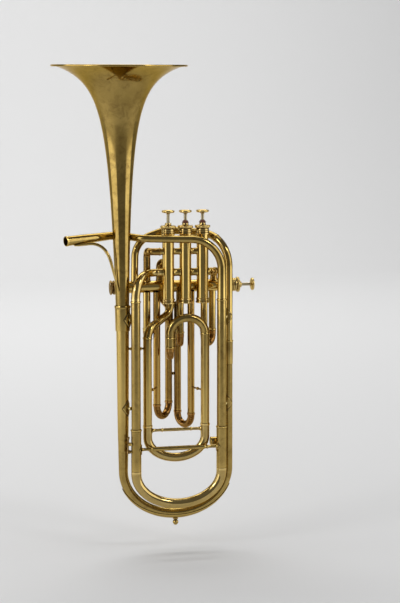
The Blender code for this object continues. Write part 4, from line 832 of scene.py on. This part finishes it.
def slide_mesh(left, right, straight, drop, inside, outer_r, inner_r, ferrule=None, rise=2.0,
               sides=SIDES, steps=44):
    """A slide: a bow with its straight ends and the thinner legs that run inside its fixed legs."""
    down = Vector((0, 0, -straight))
    line = bow_line(Vector(left) + down, Vector(right) + down, drop, straight + inside,
                    straight + inside, steps=steps)
    end = length_of(line)
    half = [(0, inner_r - 0.15), (0.2, inner_r), (inside - 0.05, inner_r)]
    if ferrule:
        half += swollen(ferrule, [(0, -0.3), (0.3, 0), (rise - 0.3, 0), (rise, -0.3)], inside)
        half += [(inside + rise + 0.05, outer_r)]
    else:
        half += [(inside, outer_r - 0.2), (inside + 0.2, outer_r)]
    bore = [(0, inner_r - NARROW_WALL), (end, inner_r - NARROW_WALL)]
    return tube_mesh(line, both_ends(half, end), bore, sides)


def make_tuning_slide():
    bm = slide_mesh((*TUNING_LEFT, TUNING_JOINT), (*TUNING_RIGHT, TUNING_JOINT), TUNING_STRAIGHT,
                    TUNING_DROP, TUNING_INSIDE, SLEEVE_R, SLEEVE_R - SLEEVE_WALL - GAP, sides=48,
                    steps=72)
    piece("main_tuning_slide", bm)


def make_tuning_brace():
    """The turned rod between the sleeves, with a diamond flange at each end."""
    line = level_line(TUNING_LEFT[0] + BRACE_INSET, TUNING_RIGHT[0] - BRACE_INSET, BRACE_Y, BRACE_Z)
    end = length_of(line)
    half = [(0, 4.2), (0.7, 3.3), (1.6, 2.6), (2.8, 2.3), (13.6, 2.15)]
    half += rounded_bead(15.2, 2.3, 1.1, 0.9)
    half += [(16.9, 2.5), (18.0, 3.0), (20.0, 3.2), (end / 2 - 8, 3.3)]
    bm = tube_mesh(line, both_ends(half, end), None, 24)
    for place, way in ((TUNING_LEFT, 1), (TUNING_RIGHT, -1)):
        facing = Vector((way, -0.30, 0)).normalized()
        diamond(bm, place, facing, SLEEVE_R + GAP * 0.4, BRACE_Z, 7.5, 46, 1.0)
    piece("tuning_brace", bm)


def make_entry_bow():
    line = bent_line([(*TUNING_LEFT, TUNING_TOP + GAP), (*TUNING_LEFT, PORT_LOW),
                      (VALVE_X - 26, VALVE_Y, PORT_LOW),
                      (VALVE_X - KNUCKLE_LEFT - GAP, VALVE_Y, PORT_LOW)], [34.5, 17])
    end = length_of(line)
    low = TUNING_R - GAP
    outline = [(0, low), (20, low), (end - 8, KNUCKLE_R)]
    outline += rounded_bead(end - 4.5, KNUCKLE_R, 1.3, 0.7) + [(end, KNUCKLE_R)]
    bore = [(0, low - TUBE_WALL), (end, KNUCKLE_R - 0.6)]
    piece("entry_bow", tube_mesh(line, outline, bore, 48))


# Valves

def casing_mesh(base, axis, length):
    """The open casing tube, with eased rims."""
    inner = CASING_R - CASING_WALL
    outline = [(inner, 0.3), (inner + 0.3, 0), (CASING_R - 0.3, 0), (CASING_R, 0.3),
               (CASING_R, length - 0.3), (CASING_R - 0.3, length), (inner + 0.3, length),
               (inner, length - 0.3)]
    return turned_mesh(outline, base, axis, 56)


def make_upright_casings():
    """Casings 1 to 3 with their knuckles, which join them to each other and to the fourth."""
    start = CASING_R - 1.2
    both = ((PORT_LOW, KNUCKLE_R), (PORT_HIGH, KNUCKLE_HIGH_R))
    for number in (1, 2, 3):
        x = valve_x(number)
        bm = casing_mesh(*VALVES[number])
        reach = VALVE_PITCH - CASING_R + 0.5 if number < 3 else KNUCKLE_RIGHT
        for z, radius in both if number < 3 else both[:1]:
            line = level_line(x + start, x + reach, VALVE_Y, z)
            tail = [(-2.2, 0), (-1.2, 0.35), (0, 0.9)] if number < 3 else [(0, 0)]
            outline = swollen(radius, [(0, 0.9), (1.3, 0.4), (2.0, 0)])
            tube_mesh(line, outline + swollen(radius, tail, length_of(line)), None, 40, bm)
        for z, radius in both if number == 1 else ():
            line = level_line(x - start, x - KNUCKLE_LEFT, VALVE_Y, z)
            outline = swollen(radius, [(0, 0.8), (1.3, 0.3), (2.0, 0), (length_of(line), 0)])
            tube_mesh(line, outline, None, 40, bm)
        line = straight_line((x, VALVE_Y + start, REAR_Z), (x, REAR_Y - CASING_R + 0.6, REAR_Z))
        outline = swollen(KNUCKLE_HIGH_R, [(0, 0.6), (1.6, 0), (length_of(line), 0)])
        tube_mesh(line, outline, None, 36, bm)
        piece(f"valve_casing_{number}", bm)


def leg_shape(line, sides, ring):
    """The outline, bore and sides of a narrow slide's leg, with or without a ring at its mouth."""
    end = length_of(line)
    mouth = [(-0.2, 0), (0, -0.15)]
    if ring:
        mouth = [(-2.5, 0.4), (-2.1, 0.85), (-1.2, 1.0), (-0.3, 0.85), (0, 0.4)]
    outline = [(0, NARROW_R), (end - 2.6, NARROW_R)] + swollen(NARROW_R, mouth, end)
    inner = NARROW_R - NARROW_WALL
    return outline, [(0, inner), (end, inner)], sides


def make_rear_casing():
    """The long fourth casing with the legs of the three short slides."""
    bm = casing_mesh(*VALVES[4])
    for _, front, back, joint, _ in SHORT_SLIDES:
        plain, turning = leg_facets(front, back)
        front_line = straight_line((*front, REAR_Z - CASING_R + 1.0), (*front, joint + GAP), plain)
        back_line = bent_line([(back[0], REAR_Y + 7.6, REAR_Z), (back[0], back[1] + 0.02, REAR_Z),
                               (*back, joint + GAP)], [2.9], turning)
        for line in (front_line, back_line):
            tube_mesh(line, *leg_shape(line, 32, True), bm)
    piece("valve_casing_4", bm)


def top_cap_outline():
    """A skirt with turned rings, a knurled flange and a dome round the stem."""
    roof = CAP_SKIRT + GAP
    return [(CAP_SEAT_R, 0)] + turned_over(CAP_R, [
        (0.1, 0), (0.5, 0.3), (0.55, 0.8), (0.5, 1.9), (0.1, 2.3), (-0.25, 2.5), (-0.3, 3.1),
        (-0.1, 3.4), (0.35, 3.8), (0.4, 4.4), (0.35, 5.0), (-0.1, 5.4), (-0.3, 5.7), (-0.3, 6.2),
        (0, 6.5), (0.1, 7.2), (-0.1, 7.9), (-0.45, 8.2), (-0.5, 8.8), (0.4, 9.4)
    ]) + turned_over(FLANGE_R, [
        (-0.5, 9.9), (-0.05, 10.4), (0, 10.7), (0, 12.6), (-0.15, 13.0), (-0.8, 13.4), (-3.4, 13.6)
    ]) + turned_over(DOME_R, [
        (0.9, 13.9), (0.2, 14.5), (0, 15.2), (0, 16.4), (-0.25, 16.9), (-0.8, 17.2)
    ]) + [(STEM_R + 0.2, 17.2), (STEM_R + 0.2, roof), (CAP_SEAT_R, roof)]


def bottom_cap_outline(rim):
    """A shallow cup with a vent hole, and a groove between two rims."""
    groove = CAP_R - 0.5
    return [(1.4, 0.4), (1.7, 0.0), (3.4, 0.0), (3.9, 0.15), (4.3, 0.45)] + turned_over(rim, [
        (-2.6, 0.45), (-1.7, 0.15), (-0.9, 0.15), (-0.3, 0.45), (0, 1.1), (-0.05, 1.8), (-0.4, 2.4)
    ]) + [(groove, 2.8), (groove, 4.9)] + turned_over(rim, [
        (-0.5, 5.2), (-0.15, 5.6), (-0.1, 6.2), (-0.35, 6.8), (-0.8, 7.2)
    ]) + [(CAP_R - 0.4, 7.4), (CAP_R - 0.7, 7.6), (CAP_SEAT_R, 7.6), (CAP_SEAT_R, 2.3), (1.4, 2.3)]


def make_caps_and_buttons():
    """Each valve's caps, stem and button, and the felts of the second and third."""
    stem = [(0, -STEM_BURIED), (STEM_R + 0.05, -STEM_BURIED), (0, 0.1)]
    stem[2:2] = turned_over(STEM_R, [(0.05, -0.65), (0.35, -0.55), (0.5, -0.25), (0.35, 0.1)])
    button = [(0, GAP), (3.0, GAP), (3.2, 0.5), (3.6, 0.9), (5.0, 1.15), (7.2, 1.3), (8.4, 1.55),
              (9.0, 1.95), (9.4, 2.6), (9.5, 3.4), (9.4, 4.2), (9.15, 4.65), (8.8, 4.87),
              (8.4, 4.9), (8.0, 4.75), (7.6, 4.3), (6.6, 3.9), (4.5, 3.6), (2.5, 3.5), (0, 3.48)]
    felt = [(STEM_R + 0.6, 0), (5.0, 0), (5.3, 0.3), (5.2, 0.8), (4.5, 1.7), (3.9, 2.7),
            (3.4, 3.5), (3.1, 3.85), (STEM_R + 0.6, 3.9)]
    for number, (base, axis, length) in VALVES.items():
        bm = turned_mesh(top_cap_outline(), base + axis * (length - CAP_SKIRT), axis, 144,
                         (22, 25, 48, 0.32))
        piece(f"valve_top_cap_{number}", bm)
        rear = number == 4
        bm = turned_mesh(bottom_cap_outline(CAP_R + (1.0 if rear else 0.45)),
                         base - axis * CAP_BELOW, axis, 72)
        # the rear bottom cap takes the dark tarnished brass as painted shade, for its face turned
        # away from the light
        piece(f"valve_bottom_cap_{number}", bm, "tarnished_brass" if rear else None)
        tip = base + axis * (length - CAP_SEAT + STEM_ROOT + STEM_SHOWN)
        bm = turned_mesh(stem, tip, axis, 32)
        piece(f"valve_stem_{number}", bm, "nickel_silver", f"valve_{number}", [])
        piece(f"finger_button_{number}", turned_mesh(button, tip, axis, 72))
        if number in (2, 3):
            foot = base + axis * (length - CAP_SKIRT + 17.25)
            bm = turned_mesh(felt, foot, axis, 40)
            washer = piece(f"valve_felt_{number}", bm, "dark_red_felt", "horn", [])
            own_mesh(washer)


def make_springs():
    """Wound springs under the pistons of the three upright valves."""
    turns = sweep(0, 360 * SPRING_TURNS, 24 * SPRING_TURNS)
    height = PISTON_FOOT + SPRING_HOLE - GAP - 0.1 - SPRING_WIRE
    for number in (1, 2, 3):
        foot = VALVES[number][0] + Vector((0, 0, 0.1))
        points = [foot + Vector((SPRING_R * cos(turn), SPRING_R * sin(turn),
                                 SPRING_WIRE / 2 + height * turn / turns[-1])) for turn in turns]
        headings = [(after - before).normalized()
                    for before, after in zip(points[:1] + points[:-1], points[1:] + points[-1:])]
        line = with_measure(points, headings, Vector((0, 0, 1)))
        wire = [(0, SPRING_WIRE / 2), (length_of(line), SPRING_WIRE / 2)]
        spring = piece(f"valve_spring_{number}", tube_mesh(line, wire, None, 10))
        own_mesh(spring)


def make_links():
    """Tubes between the upright valves and the fourth."""
    left = VALVE_X - KNUCKLE_LEFT - GAP
    right = valve_x(3) + KNUCKLE_RIGHT + GAP
    for name, start, x, z in (("link_tube_right", right, RIGHT_LINK_X, PORT_LOW),
                              ("link_tube_upper", left, UPPER_LINK_X, PORT_HIGH)):
        line = bent_line([(start, VALVE_Y, z), (x, VALVE_Y, z), (x, REAR_Y, z),
                          (x, REAR_Y, LINK_ROOT)], [9, 9], (0, 0, 1))
        outline = swollen(NARROW_R, [(0, 0.3), (0.3, 0.6), (1.9, 0.6), (2.2, 0.3), (2.3, 0)])
        outline += swollen(NARROW_R, [(-3.2, 0), (-1.6, 0.3), (0, 0.9)], length_of(line))
        piece(name, tube_mesh(line, outline, None, 40))
    line = bent_line([(LINK_X, REAR_Y, LINK_ROOT), (LINK_X, REAR_Y, LINK_TOP),
                      (VALVE_X, VALVE_Y, LINK_TOP)], [8.5])
    end = length_of(line) - CASING_R + 0.6
    outline = swollen(NARROW_R, [(0, 0.9), (1.6, 0.3), (3.0, 0)])
    outline += swollen(NARROW_R, [(-1.4, 0), (0, 0.5)], end)
    piece("link_tube_lower", tube_mesh(line, outline, None, 40))


# Slides of the valves

def make_wide_legs():
    """The wide slide's left leg with its S bend and its right leg with the arch."""
    ferrule = WIDE_FERRULE + GAP
    mouth = [(-0.2, 0), (0, -0.2)]
    left = bent_line([(*S_BEND, REAR_Z - CASING_R + 0.8), (*S_BEND, 317), (*WIDE_LEFT, 296),
                      (*WIDE_LEFT, ferrule)], [18, 22])
    end = length_of(left)
    ring_at = end - (WIDE_LEFT_TOP - ferrule)
    outline = [(0, 5.7), (24, 5.7), (ring_at - 8, WIDE_R)]
    outline += rounded_bead(ring_at - 1, WIDE_R, 1.2, 0.9) + swollen(WIDE_R, mouth, end)
    bore = [(0, 5.1), (ring_at, WIDE_R - TUBE_WALL), (end, WIDE_R - TUBE_WALL)]
    bm = tube_mesh(left, outline, bore, 44)
    link_stay(bm, WIDE_LEFT, WIDE_R, (LEFT_X, 0), radius_on(BELL_LEG, WIDE_STAY_Z), WIDE_STAY_Z,
              [3.4, -3.0])
    piece("fourth_leg_left", bm)
    right = bow_line((*ARCH_LEFT, WIDE_RIGHT_TOP), (*WIDE_RIGHT, WIDE_RIGHT_TOP), ARCH_RISE,
                     WIDE_RIGHT_TOP - ARCH_END, WIDE_RIGHT_TOP - ferrule, up=True)
    end = length_of(right)
    ring_at = end - (WIDE_RIGHT_TOP - ferrule)
    outline = [(0, 6.8), (0.3, 7.1), (1.0, 7.3), (1.7, 7.1), (2.0, 6.6), (2.1, 6.0)]
    outline += rounded_bead(14.9, 6.0, 1.2, 0.9) + [(40, 6.2)]
    outline += rounded_bead(ring_at, WIDE_R, 1.2, 0.9) + swollen(WIDE_R, mouth, end)
    bore = [(0, 5.4), (40, 5.4), (ring_at, WIDE_R - TUBE_WALL), (end, WIDE_R - TUBE_WALL)]
    piece("fourth_leg_right", tube_mesh(right, outline, bore, 44))


def make_wide_slide():
    """The wide slide with the turned rod between its legs."""
    bm = slide_mesh((*WIDE_LEFT, WIDE_FERRULE), (*WIDE_RIGHT, WIDE_FERRULE), WIDE_STRAIGHT,
                    WIDE_DROP, WIDE_INSIDE, WIDE_R + 0.2, WIDE_R - TUBE_WALL - SLIDE_FIT,
                    WIDE_FERRULE_R + 0.1, 3.4, 44, 60)
    height = WIDE_FERRULE - WIDE_ROD_DROP
    line = level_line(WIDE_LEFT[0] + WIDE_R, WIDE_RIGHT[0] - WIDE_R, WIDE_LEFT[1], height)
    end = length_of(line)
    half = [(0, 4.4), (0.8, 3.4), (1.8, 2.7), (3.2, 2.3), (13.9, 2.1)]
    half += rounded_bead(15.4, 2.2, 1.0, 0.8)
    half += [(17.0, 2.2), (19.0, 2.4), (end / 2 - 6, 2.45)]
    tube_mesh(line, both_ends(half, end), None, 24, bm)
    piece("fourth_slide", bm)


def make_arch_slide():
    """The short slide at the arch's end and the tube that leads back to the fourth valve."""
    plain, _ = leg_facets(ARCH_LEFT, ARCH_BACK)
    bm = slide_mesh((*ARCH_LEFT, ARCH_END - GAP), (*ARCH_BACK, ARCH_END - GAP), ARCH_STRAIGHT,
                    ARCH_DROP, ARCH_INSIDE, 5.6, 5.2, 6.4, 5.2)
    piece("arch_slide", bm, "rose_brass")
    line = bent_line([(*ARCH_BACK, ARCH_END), (*ARCH_BACK, ARCH_END + 22),
                      (RETURN_X, RETURN_Y, ARCH_END + 30), (RETURN_X, RETURN_Y, ARCH_END + 54),
                      (RETURN_PORT_X, RETURN_Y, ARCH_END + 68), (RETURN_PORT_X, RETURN_Y, REAR_Z),
                      (RETURN_PORT_X, REAR_Y + CASING_R - 1.0, REAR_Z)], [8, 9, 8, 8, 2.9], plain)
    end = length_of(line)
    outline = [(0, 6.0), (0.3, 6.3), (1.7, 6.3), (2.0, 5.9), (20, 5.9), (26, NARROW_R),
               (end, NARROW_R)]
    bore = [(0, 5.4), (20, 5.4), (26, 4.8), (end, 4.8)]
    piece("arch_return_tube", tube_mesh(line, outline, bore))


def make_narrow_slide(name, front, back, joint, straight, inside, ferrule, rise, steps=44):
    half = (Vector(back) - Vector(front)).length * 0.5
    bm = slide_mesh((*front, joint), (*back, joint), straight, half, inside, NARROW_R,
                    NARROW_R - NARROW_WALL - SLIDE_FIT, NARROW_R + ferrule, rise, 36, steps)
    piece(name, bm, "rose_brass")


def make_long_slides():
    """The two long narrow slides behind, with their legs and the legs' small stays."""
    for name, (front_x, back_x), port_x, joint, straight in LONG_SLIDES:
        front = (front_x, LONG_FRONT_Y)
        back = (back_x, LONG_BACK_Y)
        plain, turning = leg_facets(front, back)
        front_line = straight_line((*front, REAR_Z - CASING_R + 0.8), (*front, joint + GAP), plain)
        corners = [(port_x, REAR_Y + CASING_R - 1.0, REAR_Z), (port_x, LONG_BACK_Y, REAR_Z)]
        bends = [9]
        if port_x != back_x:
            corners += [(port_x, LONG_BACK_Y, REAR_Z - 16), (*back, REAR_Z - 30)]
            bends += [8, 8]
        back_line = bent_line(corners + [(*back, joint + GAP)], bends, turning)
        for part, place, line in (("front", front, front_line), ("back", back, back_line)):
            leg = f"{name}_leg_{part}"
            bm = tube_mesh(line, *leg_shape(line, 36, False))
            if leg in LONG_STAYS:
                link_stay(bm, place, NARROW_R, *LONG_STAYS[leg])
            piece(leg, bm)
        make_narrow_slide(f"{name}_long_slide", front, back, joint, straight, LONG_INSIDE, 0.7, 3.2)


def make_short_slides():
    for slide in SHORT_SLIDES:
        make_narrow_slide(*slide, SHORT_INSIDE, 0.35, 5.5, 32)


# Stays and fittings

def stay_line(start, start_r, end, end_r, height):
    """A level line from one upright tube's skin to another's, and its direction."""
    a = Vector((*start, height))
    b = Vector((*end, height))
    way = (b - a).normalized()
    return straight_line(a + way * start_r, b - way * end_r), way


def link_stay(bm, start, start_r, end, end_r, height, beads=None):
    """Add a beaded rod from one tube to another; beads are measured from its start."""
    line, _ = stay_line(start, start_r - 0.35, end, end_r + 0.02, height)
    length = length_of(line)
    outline = [(0, 2.4), (0.5, 1.8), (0.9, 1.4)]
    for at in beads or [length / 2]:
        outline += rounded_bead(at % length, 1.35, 1.4, 1.15, 8)
    outline += [(length - 0.9, 1.4), (length - 0.5, 1.8), (length, 2.4)]
    tube_mesh(line, outline, None, 20, bm)


def diamond(bm, centre, way, tube_r, height, half_length, wrap, thick):
    """Add a diamond plate bent round a tube."""
    line = []
    wraps = []
    for index in range(25):
        part = 2 * index / 24 - 1
        place = Vector((*centre, height + part * half_length))
        line.append((0.0, place, Vector((0, 0, 1)), way))
        wraps.append(2.0 + (wrap - 2.0) * (1 - abs(part)) ** 0.9)
    strap_mesh(line, [tube_r] * 25, thick, wraps, 16, bm)


def make_stays():
    """Four stays: a polished rod with a bead, a diamond flange and a line of old solder."""
    left = (LEFT_X, 0)
    right = (RIGHT_X, 0)
    jobs = (("bell_stay_upper", left, BELL_LEG_TOP_R + 2.0, TUNING_LEFT, STAY_UPPER_Z),
            ("bell_stay_lower", left, radius_on(BELL_LEG, BELL_STAY_LOWER_Z), TUNING_LEFT,
             BELL_STAY_LOWER_Z),
            ("branch_stay_upper", right, BRANCH_R, TUNING_RIGHT, STAY_UPPER_Z),
            ("branch_stay_lower", right, BRANCH_R, TUNING_RIGHT, BRANCH_STAY_LOWER_Z))
    for name, outer, outer_r, inner, height in jobs:
        line, way = stay_line(outer, outer_r + 0.3, inner, TUNING_R + 0.02, height)
        end = length_of(line)
        outline = [(0, 2.6), (0.5, 2.0), (1.1, 1.6)]
        outline += rounded_bead(end / 2, 1.45, min(2.0, end / 2 - 1.3), 1.5, 8)
        outline += [(end - 1.1, 1.6), (end - 0.5, 2.0), (end, 2.6)]
        bm = tube_mesh(line, outline, None, 24)
        piece(name + "_rod", bm, "polished_brass", "horn", [])
        reach = outer_r + 0.15
        wrap = degrees(DIAMOND_WIDE / reach)
        bm = bmesh.new()
        diamond(bm, outer, way, reach, height, DIAMOND_TALL, wrap, 1.0)
        piece(name, bm)
        bm = bmesh.new()
        diamond(bm, outer, way, reach - 0.05, height, DIAMOND_TALL + 1.5,
                wrap + degrees(1.3 / reach), 0.22)
        piece(name + "_solder", bm, "old_solder", "horn", [])


def make_cross_stub():
    line = level_line(WIDE_RIGHT[0] + WIDE_FERRULE_R + 0.9, TUNING_RIGHT[0] - 3.0, STUB_Y, STUB_Z)
    outline = [(0, 0.4)] + swollen(STUB_R, [(0.05, -1.2), (0.4, -0.5), (1.0, 0), (2.0, 0),
                                            (2.3, -0.3), (length_of(line), -0.3)])
    piece("cross_stub", tube_mesh(line, outline, None, 40))


make_bell()
make_bell_ferrule()
make_bell_bow()
make_foot_knob()
make_branch()
make_mouthpipe()
make_mouthpipe_brace()
make_tuning_legs()
make_water_key()
make_tuning_slide()
make_tuning_brace()
make_entry_bow()
make_upright_casings()
make_rear_casing()
make_caps_and_buttons()
make_springs()
make_links()
make_wide_legs()
make_wide_slide()
make_arch_slide()
make_long_slides()
make_short_slides()
make_stays()
make_cross_stub()

# The CAD nodes that still show, such as the pistons, get the same materials
for name, node in frame["nodes"].items():
    for slot in node.material_slots:
        slot.material = MATERIALS[NODE_SLOT[name]]


# Floor, light and camera

def make_floor():
    """A floor that rises far behind the object, low enough for the pulled tuning slide."""
    bm = bmesh.new()
    profile = [(FLOOR_NEAR, 0.0), (FLOOR_FAR, 0.0)]
    for angle in sweep(0, 90, 16)[1:]:
        profile.append((FLOOR_FAR + FLOOR_CURVE * sin(angle),
                        FLOOR_CURVE * (1 - cos(angle))))
    profile.append((FLOOR_FAR + FLOOR_CURVE, FLOOR_TOP))
    rows = [[bm.verts.new((x, y, z - FLOOR_DROP)) for x in (-FLOOR_HALF_WIDTH, FLOOR_HALF_WIDTH)]
            for y, z in profile]
    for row, following in zip(rows, rows[1:]):
        bm.faces.new((row[0], row[1], following[1], following[0]))
    mesh = mesh_of("floor", bm)
    material, _, shader = new_material("pale_floor")
    shader["Base Color"].default_value = (0.66, 0.66, 0.66, 1.0)
    shader["Roughness"].default_value = 0.9
    shader["Specular IOR Level"].default_value = 0.1
    mesh.materials.append(material)
    mesh.shade_smooth()
    floor = add_object("floor", mesh)


def make_light():
    """Large soft panels that the camera doesn't see, and a faint even world."""
    world = bpy.data.worlds.new("studio")
    bpy.context.scene.world = world
    world.use_nodes = True
    background = world.node_tree.nodes["Background"].inputs
    background["Color"].default_value = (1, 1, 1, 1)
    background["Strength"].default_value = 0.16
    for name, place, aim, width, height, power in LAMPS:
        light = bpy.data.lights.new(name, 'AREA')
        light.shape = 'RECTANGLE'
        light.size = width
        light.size_y = height
        light.energy = power
        lamp = add_object(name, light, place, Vector(aim) - Vector(place))
        lamp.visible_camera = False


def make_camera():
    """Placed from the photograph's perspective: 13 degrees to the left, 7 degrees down."""
    camera = bpy.data.cameras.new("camera")
    camera.sensor_width = SENSOR
    camera.lens = FOCAL_PIXELS * SENSOR / PHOTO_HEIGHT
    camera.clip_start = 0.05
    camera.clip_end = 60.0
    bpy.context.scene.camera = add_object("camera", camera, CAMERA_PLACE, Vector(CAMERA_LOOK))


make_floor()
make_light()
make_camera()
bpy.context.scene.view_settings.view_transform = 'Standard'
